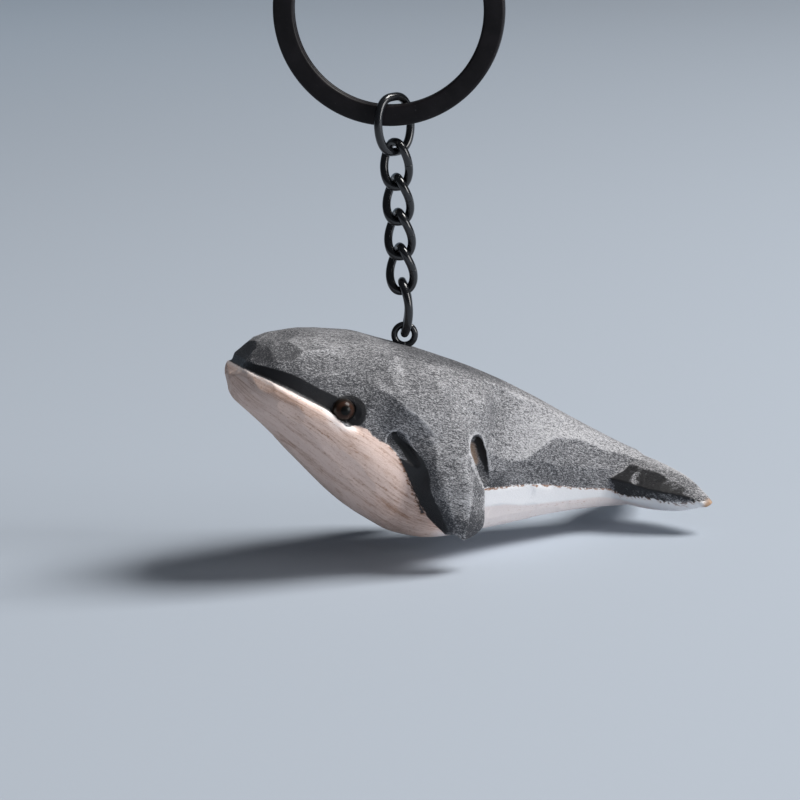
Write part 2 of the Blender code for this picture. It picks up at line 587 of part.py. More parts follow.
def main():
    clear_scene()
    ring_black = make_material("satin black steel", (0.012, 0.012, 0.014), 0.4, metallic=0.6)
    chain_black = make_material("black plated steel", (0.015, 0.016, 0.02), 0.25, metallic=0.8)
    wood = make_material("stained carved wood", (0.14, 0.145, 0.15), 0.75)
    glass = make_material("brown glass", (0.12, 0.05, 0.02), 0.05)

    make_ring(ring_black)
    links = chain_links()
    parent = None
    for name, link in links.items():
        pivot = empty(f"{name}_joint", (0, 0, link["joint"]), parent)
        obj = make_link(name, link, chain_black)
        hang(obj, pivot, (0, 0, link["joint"]))
        parent = pivot

    middle = eye_middle_height(links)
    whale_joint = links["end_link"]["bottom"] - CHAIN_WIRE / 2
    pivot = empty("whale_joint", (0, 0, whale_joint), parent)
    make_screw_eye(pivot, middle, chain_black)
    seat_height = middle - EYE_INNER_RADIUS - EYE_WIRE + EYE_SINK
    seat = (0, 0, seat_height)
    body = make_body(pivot, seat, wood)
    add_boolean(body, as_helper(make_eye_slot(pivot, middle, wood)), "DIFFERENCE")

    for label, side in (("left", -1), ("right", 1)):
        flipper = helper_solid(f"{label}_flipper", flipper_rings(side), pivot, seat, wood)
        add_boolean(body, flipper, "UNION")
        fluke = helper_solid(f"{label}_fluke", fluke_rings(side), pivot, seat, wood)
        add_boolean(body, fluke, "UNION")
        surface = float(trunk_side(EYE_U, EYE_W)) * MM
        place = (EYE_U * MM, side * (surface + EYE_PROUD - EYE_BEAD_RADIUS), EYE_W * MM)
        bead = place_in_whale(ball(f"{label}_eye", place, EYE_BEAD_RADIUS, glass), pivot, seat)
        smooth(bead)
        socket = ball(f"{label}_socket", place, EYE_BEAD_RADIUS + SOCKET_CLEARANCE, wood)
        add_boolean(body, as_helper(place_in_whale(socket, pivot, seat)), "DIFFERENCE")
        corner_place = ((EYE_U + EYE_CORNER_SHIFT) * MM, side * surface, (EYE_W - EYE_CORNER_DROP) * MM)
        corner = ball(f"{label}_eye_corner", corner_place, EYE_CORNER_RADIUS, wood)
        add_boolean(body, as_helper(place_in_whale(corner, pivot, seat)), "DIFFERENCE")
        notch_place = np.array(NOTCH_PLACE) * (1, side, 1) * MM
        notch = ball(f"{label}_notch", notch_place, NOTCH_RADIUS * MM, wood)
        add_boolean(body, as_helper(place_in_whale(notch, pivot, seat)), "DIFFERENCE")

    pilot_radius = THREAD_RADIUS + PILOT_CLEARANCE
    pilot_profile = [(pilot_radius, PILOT_RISE), (pilot_radius, -(SHANK_LENGTH + PILOT_BELOW_POINT))]
    rings = turned(pilot_profile, SHANK_SIDES)
    pilot = mesh_object("pilot_hole", rings.reshape(-1, 3), sweep(rings), wood)
    hang(as_helper(pilot), pivot, (0, 0, middle - EYE_INNER_RADIUS - EYE_WIRE / 2))
    add_boolean(body, pilot, "DIFFERENCE")
    smooth(body, BODY_SHARP_ANGLE)


main()
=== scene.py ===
"""Looks of the carved whale key ring: split ring, chain, screw eye, whale and glass eyes.

Sizes are in millimetres until a piece's mesh is laid down in metres. The whale is worked out in
its own frame: u runs from nose to tail, y to its right side and w up from the screw eye's seat.
"""

import math

import bpy
import numpy as np
from mathutils import Matrix


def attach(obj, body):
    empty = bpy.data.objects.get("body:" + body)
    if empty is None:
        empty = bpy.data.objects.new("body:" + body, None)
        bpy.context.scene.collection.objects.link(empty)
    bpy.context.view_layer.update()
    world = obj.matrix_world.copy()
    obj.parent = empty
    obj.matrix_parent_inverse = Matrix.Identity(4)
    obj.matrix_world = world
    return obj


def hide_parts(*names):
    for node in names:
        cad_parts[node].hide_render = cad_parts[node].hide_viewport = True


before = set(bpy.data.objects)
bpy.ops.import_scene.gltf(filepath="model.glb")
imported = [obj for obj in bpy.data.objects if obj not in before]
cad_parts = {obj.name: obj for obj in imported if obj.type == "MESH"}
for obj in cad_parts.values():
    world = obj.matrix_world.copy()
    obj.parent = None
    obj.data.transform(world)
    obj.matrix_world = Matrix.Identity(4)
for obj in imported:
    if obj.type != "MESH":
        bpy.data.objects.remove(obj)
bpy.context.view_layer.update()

MM = 0.001

# The whale's place: the seat of the screw eye, and how far the tail dips.
SEAT_HEIGHT = -56.18
WHALE_PITCH = math.radians(20.0)

# Trunk lines along u, as in the part.
NOSE_U = -22.4
STOCK_END_U = 37.2
NOSE_ROUND = 7.0
BROW_ROUND = 3.2
NOSE_BLUNTNESS = 2.3
BACK_FULLNESS = 2.5
BELLY_FULLNESS = 2.15
LIP_LEDGE = 0.8
LIP_UNDERCUT = 0.55
LIP_BEVEL = 0.45
SHOULDER_RISE = 1.4
SHOULDER_SLOPE = 4.2
CHEEK_HOLLOW = 0.55
LIP_DROP = 0.25
LIP_END_U = -8.5
LIP_FADE = 4.0
# A crease's slope is taken over this much to each side. Past a place on the tail half, flat faces
# take over from the round side within a spread.
SLOPE_SPAN = 1.3
FACETS_FROM_U = 9.5
FACETS_SPREAD = 3.5
BACK_LINE = [(-23, -5.3), (-19, -3.25), (-15, -1.6), (-10.5, -0.5), (-5.5, 0), (0, 0), (5, -0.2),
             (10, -0.7), (15, -1.4), (20, -2.4), (25, -3.6), (30, -4.7), (35, -5.7), (38.5, -6.2)]
BELLY_LINE = [(-23, -9.3), (-20.7, -12.3), (-18, -13.8), (-15, -15.4), (-9, -18.8), (-3.5, -21.8),
              (1, -23.5), (5.5, -24.4), (9.5, -24.2), (13.5, -23.0), (17, -21.5), (21, -19.8),
              (27, -17.2), (33, -15.0), (38.5, -13.4)]
HALF_WIDTH_LINE = [(-23, 8.3), (-19, 9.4), (-15, 10.5), (-10, 11.5), (-4, 11.9), (2, 11.4),
                   (8, 10.1), (14, 8.1), (20, 6.1), (27, 4.3), (33, 3.2), (38.5, 2.6)]
WIDEST_LINE = [(-23, -8.6), (-19, -9.4), (-10, -11.4), (0, -12.2), (8, -12.0), (14, -11.2),
               (20, -10.4), (27, -9.8), (33, -9.6), (38.5, -9.2)]
MOUTH_LINE = [(-23, -7.7), (-19, -8.3), (-15, -9.1), (-11, -10.1), (-9, -10.9), (-6, -11.6),
              (-2, -13.0), (2, -14.6), (8, -15.6), (14.4, -15.2), (18, -13.8), (22, -12.9),
              (27, -12.1), (31, -11.6), (38.5, -11.2)]
LIP_CREASE_LINE = [(-23, -6.7), (-21.2, -6.2), (-19.7, -6.3), (-17.6, -6.6), (-15.7, -7.0),
                   (-13.7, -7.5), (-11.5, -7.9), (-8, -8.6)]
LIP_PAINT_LINE = [(-23, -7.3), (-21.2, -7.0), (-19.7, -6.75), (-17.6, -6.7), (-15.7, -7.0),
                  (-13.7, -7.5), (-11.5, -7.9), (-8, -8.6)]
SHOULDER_CREASE = [(-8.5, -3.9), (-6.6, -5.1), (-4.6, -6.0), (-2.8, -6.9), (-0.5, -8.1),
                   (1.8, -9.8), (2.8, -11.2), (3.5, -13.5), (5.3, -16.2)]
BACK_CREASE = [(8, -1.3), (12.9, -1.9), (19.6, -3.1), (30, -5.3), (38.5, -6.7)]
SIDE_CREASE = [(8, -9.4), (11.7, -10.1), (14, -10.7), (16.6, -10.8), (18.3, -10.2), (20.2, -8.4),
               (22, -7.0), (24.3, -6.5), (26.6, -6.2), (28.7, -6.4), (30.7, -6.9), (32.5, -6.8),
               (34.5, -6.9), (38.5, -7.2)]
LOW_SIDE_CREASE = [(8, -12.4), (14.7, -12.6), (16.7, -11.6), (19.3, -10.9), (23.1, -10.4),
                   (27.4, -9.8), (31.6, -9.2), (38.5, -8.9)]
DARK_BACK_LINE = [(-6, -2.4), (-3.3, -2.1), (1.5, -1.4), (7.2, -1.2), (12.9, -1.9), (19.6, -3.1),
                  (30, -5.3), (38.5, -6.7)]
KEEL_CREASE = [(8, -19.2), (12, -18.4), (17.6, -16.9), (21.3, -16.4), (24.9, -15.4), (28.7, -14.3),
               (32.2, -13.3), (38.5, -12.7)]

PAINT_LINE = [(-23, -7.9), (-19, -8.5), (-15, -9.3), (-11, -10.3), (-9.3, -11.3), (-7.9, -10.9),
              (-6.6, -11.0), (-4.9, -11.9), (-3, -12.4), (-1, -13.6), (2, -14.8), (8, -15.6),
              (13, -15.2), (15.6, -14.7), (18.3, -14), (22, -13.3), (25.3, -12.9), (28.7, -12.6),
              (32.8, -11.9), (38.5, -11.4)]
FLUKE_PAINT_LINE = [(0, -12.2), (2.6, -12.4), (4.6, -12.0), (6.3, -11.5), (7.4, -11.3), (8.8, -11.1),
                    (10.5, -10.2), (11.6, -9.6)]
# Pairs of depth below the seat and u, where the black beside the front gouge ends.
GOUGE_PAINT_LINE = [(10.4, -3.2), (11.6, -2.1), (12.7, -0.8), (14.3, 0.6)]
NOTCH_BARE_LINE = [(9.6, -10.3), (10.6, -12.0)]
BARE_FLUKE_TIP = (43.9, 11.5, -10.0)

# Flippers and flukes, as in the part: a flipper's long edges as (u, y, w) from inside the shoulder
# to the tip.
FLIPPER_EDGES = [
    # Where its front meets the throat.
    [(-1.8, 6.5, -6.4), (-3.2, 9.3, -8.8), (-3.2, 11.1, -11.6), (-1.0, 11.2, -13.8), (0.9, 10.9, -15.8),
     (2.9, 10.6, -18.1), (5.0, 10.6, -20.1), (7.9, 11.6, -21.9)],
    # Between the front face and its bevel.
    [(-1.5, 8.0, -6.0), (-2.4, 10.7, -8.4), (-2.1, 11.6, -10.8), (0.2, 12.1, -12.0), (2.4, 12.6, -14.0),
     (3.6, 13.0, -16.6), (5.6, 13.1, -18.9), (7.6, 12.9, -21.3)],
    # Between the bevel and the outer face.
    [(-0.5, 8.5, -5.6), (-1.0, 11.3, -7.9), (1.6, 12.2, -9.7), (2.9, 12.9, -11.4), (3.5, 13.4, -13.5),
     (5.3, 13.9, -16.2), (6.9, 13.9, -18.7), (8.6, 13.3, -21.4)],
    # Between the outer face and the rear one.
    [(5.0, 8.5, -4.6), (6.0, 11.2, -6.6), (6.6, 12.5, -9.1), (7.3, 13.3, -11.5), (8.0, 13.9, -13.9),
     (8.9, 14.2, -16.6), (9.4, 14.1, -19.4), (9.9, 13.5, -21.9)],
    # Rear edge.
    [(6.4, 7.5, -5.2), (8.0, 9.4, -7.4), (9.2, 10.6, -9.4), (10.2, 11.4, -11.4), (11.2, 12.0, -14.2),
     (11.9, 12.4, -16.8), (12.4, 12.8, -19.2), (11.4, 12.7, -21.2)],
    # Rear and front of its inner face.
    [(6.0, 6.0, -5.2), (7.6, 7.9, -7.2), (8.8, 9.1, -9.2), (9.8, 9.8, -11.2), (10.8, 10.4, -14.0),
     (11.5, 10.9, -16.6), (12.0, 11.4, -19.0), (11.0, 11.5, -20.9)],
    [(-1.2, 5.5, -6.1), (-2.6, 7.9, -8.5), (-2.6, 9.5, -11.3), (-0.4, 9.6, -13.5), (1.5, 9.3, -15.5),
     (3.5, 9.0, -17.8), (5.6, 9.1, -19.8), (8.2, 10.7, -21.5)],
]
FLUKE_REACH = 11.6
FLUKE_LEADING = [(0, 30.0), (2.8, 32.2), (6, 35.2), (9, 38.8), (11.6, 42.6)]
FLUKE_TRAILING = [(0, 40.8), (4, 42.8), (8, 44.2), (10.6, 44.6), (11.6, 44.2)]
FLUKE_UPPER = [(0, -6.2), (4, -6.5), (8, -7.25), (10.6, -8.5), (11.6, -9.3)]
FLUKE_LOWER = [(0, -13.6), (4, -13.1), (8, -12.0), (10.6, -10.6), (11.6, -10.2)]
FLUKE_SECTION = [(0.0, 0.42), (0.3, 0.8), (0.62, 1.0), (1.0, 0.6), (0.62, 0.0), (0.25, 0.08)]

# Glass eyes.
EYE_U = -10.0
EYE_W = -9.35
BEAD_RADIUS = 1.45
BEAD_PROUD = 0.4
BEAD_FACING = (-0.16, 1.0, 0.06)
SOCKET_GAP = 0.15
SOCKET_DEPTH = 1.5
# The crescent cut behind each eye.
CRESCENT_MIDDLE = (EYE_U + 0.65, EYE_W - 0.08)
CRESCENT_RADIUS = 2.1
CRESCENT_DEPTH = 0.7
CRESCENT_TOWARDS = (0.80, 0.60)

# Carving. Each flat has its middle, the way it faces, its reach, its depth and its stain's tone.
HEAD_FLATS = [
    ((-21.6, -0.2, -5.6), (-0.94, 0.0, 0.35), 5.0, 0.42, -1.0),
    ((-19.9, -0.9, -3.9), (-0.59, -0.1, 0.8), 5.0, 0.3, 0.4),
    ((-20.7, -3.8, -5.4), (-0.76, -0.32, 0.57), 4.5, 0.42, -0.9),
    ((-18.2, -5.2, -4.3), (-0.47, -0.4, 0.79), 5.0, 0.42, -0.8),
    ((-16.4, -4.0, -2.8), (-0.35, -0.3, 0.89), 5.0, 0.28, 0.5),
    ((-15.0, -7.9, -4.7), (-0.21, -0.75, 0.63), 5.5, 0.34, -0.1),
    ((-13.2, -4.3, -1.9), (-0.22, -0.31, 0.92), 5.5, 0.2, 0.4),
    ((-11.3, -8.6, -4.3), (-0.2, -0.75, 0.62), 6.0, 0.3, -0.3),
    ((-7.5, -9.0, -3.6), (-0.12, -0.72, 0.69), 6.0, 0.26, 0.0),
    ((-3.5, -7.5, -1.6), (0.02, -0.52, 0.85), 6.5, 0.08, 0.0),
    ((2.3, -7.9, -2.3), (0.1, -0.63, 0.77), 7.0, 0.1, 0.0),
    ((9.7, -6.8, -3.7), (0.22, -0.68, 0.69), 7.0, 0.2, 0.1),
    ((-21.6, -3.3, -10.3), (-0.91, -0.21, -0.37), 4.5, 0.3, 0.0),
    ((-18.8, -6.1, -11.6), (-0.67, -0.32, -0.67), 5.5, 0.3, 0.0),
    ((-17.5, -9.0, -10.8), (-0.45, -0.78, -0.43), 5.5, 0.25, 0.0),
    ((-19.6, -7.4, -7.2), (-0.75, -0.62, 0.22), 4.5, 0.25, -0.5),
]
# Ball gouge runs: lines in the side view, with how far out their floors lie at the two ends.
REAR_NOTCH = [(9.3, -9.9), (10.5, -11.4), (12.3, -13.6), (14.6, -14.9)]
REAR_NOTCH_RADIUS = 1.5
REAR_NOTCH_FLOORS = (7.9, 8.1)
FRONT_GOUGE = [(-2.3, -11.5), (-1.0, -12.7), (0.6, -14.3), (1.9, -16.6)]
FRONT_GOUGE_RADIUS = 1.25
FRONT_GOUGE_FLOORS = (10.3, 12.8)
# A flat touches wood that faces almost its way, and a cut works on wood that faces roughly its way.
TOUCH_FACING = 0.8
WORK_FACING = 0.45
# Small hollow cuts all over, deeper on the head.
HOLLOW_CUTS = 620
HOLLOW_REACH = 2.6
HOLLOW_LEAN = 0.02
HOLLOW_DEPTHS = (0.02, 0.06)
HOLLOW_TONES = (-0.45, 0.45)
HEAD_END_U = -12
HEAD_DEEPER = 1.5
KNIFE_SEED = 11
# Where the flipper grows out of the shoulder, the merged wood is smoothed inside an oval.
ROOT_MIDDLE = (8.5, 11.3, -8.0)
ROOT_RADII = (4.5, 4.0, 4.0)
ROOT_ROUNDS = 300
VOXEL_SIZE = 0.17
WHALE_TRIANGLES = 190000

# Split ring and chain. The part hangs from the inside of the ring's top, so the ring's middle lies
# below it. The links' wire is a little thinner than the solids', so that they clear each other when
# they swing, and its ends butt with a seam.
RING_OUTER_RADIUS = 14.985
RING_MIDDLE = -12.3
BAND_WIDTH = 2.7
BAND_THICKNESS = 1.0
BAND_CORNER = 0.36
TURN_GAP = 0.06
RING_HEADING = math.radians(-27.0)
CROSSOVER_AT = math.radians(50.0)
CROSSOVER_SPAN = math.radians(40.0)
BAND_END_GAP = math.radians(3.0)
CHAIN_WIRE = 1.15
WIRE_WEAR = 0.02
WIRE_SEAM = 0.02
WIRE_END_CORNER = 0.02
LINK_FULLNESS = 0.72
END_LINK_HEADING = math.radians(70.0)
# Each link's body, the height of its middle and its shape: inner length and width, headings at its
# top and bottom, and bow.
CURB_SHAPE = (4.71, 2.2, math.radians(-95.0), math.radians(-8.0), 0.0)
LINKS = {
    "connector_link": ("connector", -27.15, (6.0, 4.6, math.radians(23.0), math.radians(23.0), 0.0)),
    "curb_link_1": ("curb_1", -32.385, (4.71, 2.2, math.radians(-73.0), math.radians(-8.0), 0.0)),
    "curb_link_2": ("curb_2", -36.975, CURB_SHAPE),
    "curb_link_3": ("curb_3", -41.565, CURB_SHAPE),
    "curb_link_4": ("curb_4", -46.155, CURB_SHAPE),
    "end_link": ("end", -51.25, (5.72, 2.2, END_LINK_HEADING, END_LINK_HEADING, 0.7)),
}
SCREW_EYE_MIDDLE = -54.91
SCREW_EYE_WIRE = 0.85
SCREW_EYE_INNER = 0.92
SCREW_EYE_SEAM_ANGLE = 0.012
SCREW_EYE_END_CORNER = 0.01
SHANK_LENGTH = 8.0
SHANK_CORE = 0.42
THREAD_RADIUS = 0.62
THREAD_PITCH = 0.8
THREAD_START = 1.8

# Finishes.
STAIN_DARK = (0.036, 0.037, 0.043)
STAIN_WORN = (0.445, 0.444, 0.463)
# Black paint, also laid as painted shade on facets that face ahead.
BLACK_PAINT_AND_SHADE = (0.010, 0.010, 0.012)
THIN_WASH = (0.85, 0.665, 0.595)
# Thick white wash colour, also laid as painted light on faces turned to the light.
FRESH_WASH_AND_PAINTED_LIGHT = (0.90, 0.90, 0.92)
PALE_GRAIN = (0.66, 0.45, 0.36)
BROWN_GRAIN = (0.42, 0.235, 0.16)
SCRAPED_EDGE = (0.36, 0.17, 0.085)
BARE_WOOD = (0.40, 0.26, 0.17)
DUST = (0.20, 0.20, 0.20)
IRIS_DARK = (0.006, 0.003, 0.002)
IRIS_BROWN = (0.032, 0.015, 0.010)
IRIS_RIM = (0.012, 0.008, 0.006)
PUPIL = (0.003, 0.003, 0.003)
FLOOR_PAPER = (0.395, 0.440, 0.505)
# The backdrop's far colour is painted shade, and its bright stretch at the far left painted light.
BACKDROP_PAPER_PAINTED_SHADE = (0.362, 0.418, 0.492)
BACKDROP_PAINTED_LIGHT = (0.470, 0.570, 0.690)

# Stage.
FLOOR_HEIGHT = -84.5
AIM_HEIGHT = -66.0


def along(stations, x):
    """A smooth line through given stations: cubic pieces whose slopes never overshoot."""
    xs, ys = np.array(stations, float).T
    x = np.clip(np.asarray(x, float), xs[0], xs[-1])
    steps = np.diff(xs)
    slopes = np.diff(ys) / steps
    inner = np.where(slopes[1:] * slopes[:-1] > 0, (slopes[1:] + slopes[:-1]) / 2, 0.0)
    tangents = np.concatenate([slopes[:1], inner, slopes[-1:]])
    k = np.clip(np.searchsorted(xs, x, side="right") - 1, 0, len(steps) - 1)
    t = (x - xs[k]) / steps[k]
    start = ys[k] * (1 + 2 * t) * (1 - t) ** 2 + ys[k + 1] * t**2 * (3 - 2 * t)
    lean = steps[k] * (tangents[k] * t * (1 - t) ** 2 - tangents[k + 1] * t**2 * (1 - t))
    return start + lean


def ease(t):
    """0 below 0, 1 above 1, and a smooth step between: 3 t squared minus 2 t cubed."""
    t = np.clip(t, 0.0, 1.0)
    return t * t * (3 - 2 * t)


def fade(x, start, length):
    """0 up to the start and 1 from a length past it, with a smooth step between."""
    return ease((x - start) / length)


def bell(x, middle, width):
    """A bell that is 1 at the middle and falls as exp of minus the squared distance in widths."""
    return np.exp(-(((x - middle) / width) ** 2))


def least(*values):
    """The smallest of several values at each point."""
    return np.minimum.reduce(np.broadcast_arrays(*values))


def unit(vectors):
    """Each vector divided by its own length."""
    return vectors / np.maximum(np.linalg.norm(vectors, axis=-1, keepdims=True), 1e-12)


# Meshes from arrays.


def ring_quads(rows, sides):
    """Quads of a grid whose rows are closed rings."""
    row = np.arange(rows - 1)[:, None] * sides
    side = np.arange(sides)[None, :]
    following = (side + 1) % sides
    corners = [row + side, row + following, row + sides + following, row + sides + side]
    return np.stack(corners, axis=-1).reshape(-1, 4)


def capped(rings):
    """Points, quads and end triangles of a tube of rings closed by a middle point at each end."""
    rows, sides = rings.shape[:2]
    points = np.concatenate([rings.reshape(-1, 3), [rings[0].mean(axis=0)], [rings[-1].mean(axis=0)]])
    side = np.arange(sides)
    following = (side + 1) % sides
    first = np.stack([np.full(sides, rows * sides), following, side], axis=1)
    last_row = (rows - 1) * sides
    last = np.stack([np.full(sides, rows * sides + 1), last_row + side, last_row + following], axis=1)
    return points, ring_quads(rows, sides), np.concatenate([first, last])


def lay_mesh(name, points, quads, triangles=None):
    """A mesh from a point array in millimetres, four-cornered faces and three-cornered faces."""
    triangles = np.zeros((0, 3), int) if triangles is None else triangles
    corners = np.concatenate([quads.ravel(), triangles.ravel()]).astype(np.int32)
    sizes = np.concatenate([np.full(len(quads), 4), np.full(len(triangles), 3)])
    mesh = bpy.data.meshes.new(name)
    mesh.vertices.add(len(points))
    mesh.vertices.foreach_set("co", (np.asarray(points) * MM).astype(np.float32).ravel())
    mesh.loops.add(len(corners))
    mesh.loops.foreach_set("vertex_index", corners)
    mesh.polygons.add(len(sizes))
    mesh.polygons.foreach_set("loop_start", (np.cumsum(sizes) - sizes).astype(np.int32))
    mesh.update(calc_edges=True)
    mesh.validate()
    mesh.shade_smooth()
    return mesh


def add_piece(name, mesh, material=None):
    """An object for a mesh that already holds its place, at the origin and unturned."""
    piece = bpy.data.objects.new(name, mesh)
    bpy.context.scene.collection.objects.link(piece)
    if material:
        mesh.materials.append(material)
    return piece


def stand_in(piece, node, body):
    """The piece takes a CAD node's place and moves with its body."""
    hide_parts(node)
    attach(piece, body)


def note(mesh, name, values):
    """One number per vertex, for the material to read."""
    layer = mesh.attributes.new(name, "FLOAT", "POINT")
    layer.data.foreach_set("value", np.asarray(values, np.float32))


# Materials.


class Wiring:
    """Short calls for a material's nodes."""

    def __init__(self, name):
        self.material = bpy.data.materials.new(name)
        self.material.use_nodes = True
        self.nodes = self.material.node_tree.nodes
        self.links = self.material.node_tree.links
        self.shader = self.nodes["Principled BSDF"]

    def put(self, socket, value):
        """Link an output to a socket, or write a plain value on it, with a colour made opaque."""
        if isinstance(value, bpy.types.NodeSocket):
            self.links.new(value, socket)
        else:
            socket.default_value = (*value, 1.0) if socket.type == "RGBA" else value

    def set(self, **values):
        """Write values on the shader's own sockets, with spaces in their names as underscores."""
        for name, value in values.items():
            self.put(self.shader.inputs[name.replace("_", " ")], value)

    def mapped(self, vector, scale, turn=(0.0, 0.0, 0.0)):
        """A vector scaled on each axis and turned."""
        mapping = self.nodes.new("ShaderNodeMapping")
        mapping.inputs["Scale"].default_value = scale
        mapping.inputs["Rotation"].default_value = turn
        self.links.new(vector, mapping.inputs["Vector"])
        return mapping.outputs["Vector"]

    def place(self, turn=(0.0, 0.0, 0.0)):
        """Object coordinates in millimetres, turned so that patterns can follow a piece."""
        where = self.nodes.new("ShaderNodeTexCoord").outputs["Object"]
        return self.mapped(where, (1 / MM,) * 3, turn)

    def noted(self, name):
        """A number that the mesh carries at each vertex."""
        node = self.nodes.new("ShaderNodeAttribute")
        node.attribute_name = name
        return node.outputs["Fac"]

    def noise(self, vector, scale, detail=3.0, roughness=0.55, distortion=0.0):
        """Soft noise. Three scales instead of one draw its pattern out along an axis."""
        if isinstance(scale, tuple):
            vector, scale = self.mapped(vector, scale), 1.0
        node = self.nodes.new("ShaderNodeTexNoise")
        self.links.new(vector, node.inputs["Vector"])
        for name, value in (("Scale", scale), ("Detail", detail), ("Roughness", roughness),
                            ("Distortion", distortion)):
            node.inputs[name].default_value = value
        return node.outputs["Fac"]

    def maths(self, operation, *values):
        """One arithmetic step on numbers or outputs."""
        node = self.nodes.new("ShaderNodeMath")
        node.operation = operation
        for socket, value in zip(node.inputs, values):
            self.put(socket, value)
        return node.outputs[0]

    def times(self, first, second):
        """The product of two values."""
        return self.maths("MULTIPLY", first, second)

    def total(self, first, *others):
        """The sum of several values."""
        for other in others:
            first = self.maths("ADD", first, other)
        return first

    def span(self, value, low, high, to_low=0.0, to_high=1.0, smooth=True):
        """A value's stretch from low to high, mapped to another stretch and held at its ends."""
        node = self.nodes.new("ShaderNodeMapRange")
        node.interpolation_type = "SMOOTHSTEP" if smooth else "LINEAR"
        for socket, number in zip(node.inputs, (value, low, high, to_low, to_high)):
            self.put(socket, number)
        return node.outputs[0]

    def blend(self, amount, first, second):
        """Two colours mixed by an amount."""
        node = self.nodes.new("ShaderNodeMix")
        node.data_type = "RGBA"
        self.put(node.inputs["Factor"], amount)
        self.put(node.inputs[6], first)
        self.put(node.inputs[7], second)
        return node.outputs[2]

    def bump(self, height, distance, strength, under=None):
        """A relief from a height, laid over another relief if one is given."""
        node = self.nodes.new("ShaderNodeBump")
        node.inputs["Strength"].default_value = strength
        node.inputs["Distance"].default_value = distance
        self.put(node.inputs["Height"], height)
        if under:
            self.put(node.inputs["Normal"], under)
        return node.outputs["Normal"]


def carved_wood_finish():
    """Grey-black stain brushed over pale wood above, thin white wash over pink-brown grain below,
    with painted light and shade laid into both.
    """
    w = Wiring("stained_carved_wood")
    body = w.place(turn=(0.0, -WHALE_PITCH, 0.0))
    ragged = w.noise(body, (0.96, 2.56, 2.56), 4.0, 0.65)
    shift = w.times(w.span(ragged, 0.2, 0.8, -0.4, 0.4, smooth=False), w.noted("raggedness"))
    paint_edge = w.total(w.noted("paint_edge"), shift)

    # Stain: light wood specks drawn out along the grain, dark cracks, and painted light and shade.
    streaks = w.noise(body, (2.2, 6.6, 6.6), 4.0, 0.72, 0.3)
    specks = w.noise(body, (5.0, 9.0, 9.0), 2.0, 0.6)
    clouds = w.noise(body, (0.10, 0.22, 0.22), 3.0, 0.5)
    cracks = w.noise(body, (0.26, 4.2, 4.2), 3.0, 0.6, 1.0)
    salt = w.total(w.times(streaks, 0.6),
                   w.times(specks, 0.4),
                   w.span(clouds, 0.3, 0.7, -0.022, 0.022),
                   w.times(w.noted("cut_tone"), 0.042),
                   # darker on faces turned to the nose: end grain soaking up stain, and painted shade
                   # on faces turned from the light
                   w.span(w.noted("end_grain_and_painted_shade"), 0.35, 0.95, 0.0, -0.05),
                   w.span(w.noted("crest"), 0.0, 1.0, 0.0, 0.10),
                   # painted light on the tail's upper faces, painted shade on the shoulder's slope and
                   # flipper, heavier stain on the back and lip
                   w.times(w.noted("painted_light_and_stain"), 0.12),
                   w.times(w.span(cracks, 0.57, 0.64), w.span(clouds, 0.40, 0.56, -0.03, -0.12)))
    stain = w.blend(w.span(salt, 0.40, 0.672), STAIN_DARK, STAIN_WORN)
    lip_edge = w.total(w.noted("lip_band"), w.times(shift, 0.5))
    # black paint with painted shade on facets that face ahead
    black_edge = w.total(w.noted("black_paint_and_painted_shade"), w.times(shift, 0.35))
    black = w.maths("MAXIMUM", w.span(lip_edge, -0.12, 0.12), w.span(black_edge, -0.06, 0.08))
    stain = w.blend(black, stain, BLACK_PAINT_AND_SHADE)

    # White wash: fine streaks along the jaw and a few growth lines show through it.
    split = w.nodes.new("ShaderNodeSeparateXYZ")
    jaw = w.nodes.new("ShaderNodeCombineXYZ")
    w.put(split.inputs[0], body)
    w.put(jaw.inputs[0], split.outputs[0])
    w.put(jaw.inputs[1], w.noted("jaw_depth"))
    w.put(jaw.inputs[2], w.times(split.outputs[1], 0.14))
    drift = w.noise(jaw.outputs[0], (0.07, 0.3, 1.0), 2.0, 0.5)
    bands = w.noise(jaw.outputs[0], (0.09, 1.3, 1.0), 4.0, 0.6, 0.8)
    pores = w.noise(jaw.outputs[0], (0.9, 3.8, 1.0), 3.0, 0.7)
    flecks = w.noise(body, (2.0, 4.0, 4.0), 2.0, 0.7)
    thin = w.total(w.span(bands, 0.38, 0.72, 0.05, 0.5),
                   w.span(pores, 0.45, 0.75, 0.0, 0.45),
                   w.span(drift, 0.35, 0.7, -0.05, 0.25),
                   w.span(flecks, 0.57, 0.68, 0.0, 0.5),
                   w.times(w.noted("white_wash_and_painted_light"), -1.0))
    wood = w.blend(w.span(bands, 0.4, 0.7), PALE_GRAIN, BROWN_GRAIN)
    # thick white wash, and painted light on the ledge under the lip and the rear's side
    white = w.blend(w.noted("white_wash_and_painted_light"), THIN_WASH, FRESH_WASH_AND_PAINTED_LIGHT)
    wash = w.blend(w.span(thin, 0.0, 1.0), white, wood)

    # Bare edge where the stain was scraped back, and the bare fluke tips.
    near_edge = w.span(w.maths("ABSOLUTE", paint_edge), 0.0, 0.24, 1.0, 0.0)
    bare = w.times(w.times(near_edge, w.span(ragged, 0.42, 0.6)), w.noted("bare_edge"))
    colour = w.blend(w.span(paint_edge, -0.08, 0.1), wash, stain)
    colour = w.blend(bare, colour, SCRAPED_EDGE)
    colour = w.blend(w.noted("bare_wood"), colour, BARE_WOOD)
    w.set(Base_Color=colour, Roughness=w.span(black, 0.0, 1.0, 0.78, 0.36), Specular_IOR_Level=0.4)
    fibres = w.bump(w.total(streaks, w.times(specks, 0.6)), 0.00012, 0.55)
    w.set(Normal=w.bump(pores, 0.00006, 0.3, under=fibres))
    return w.material


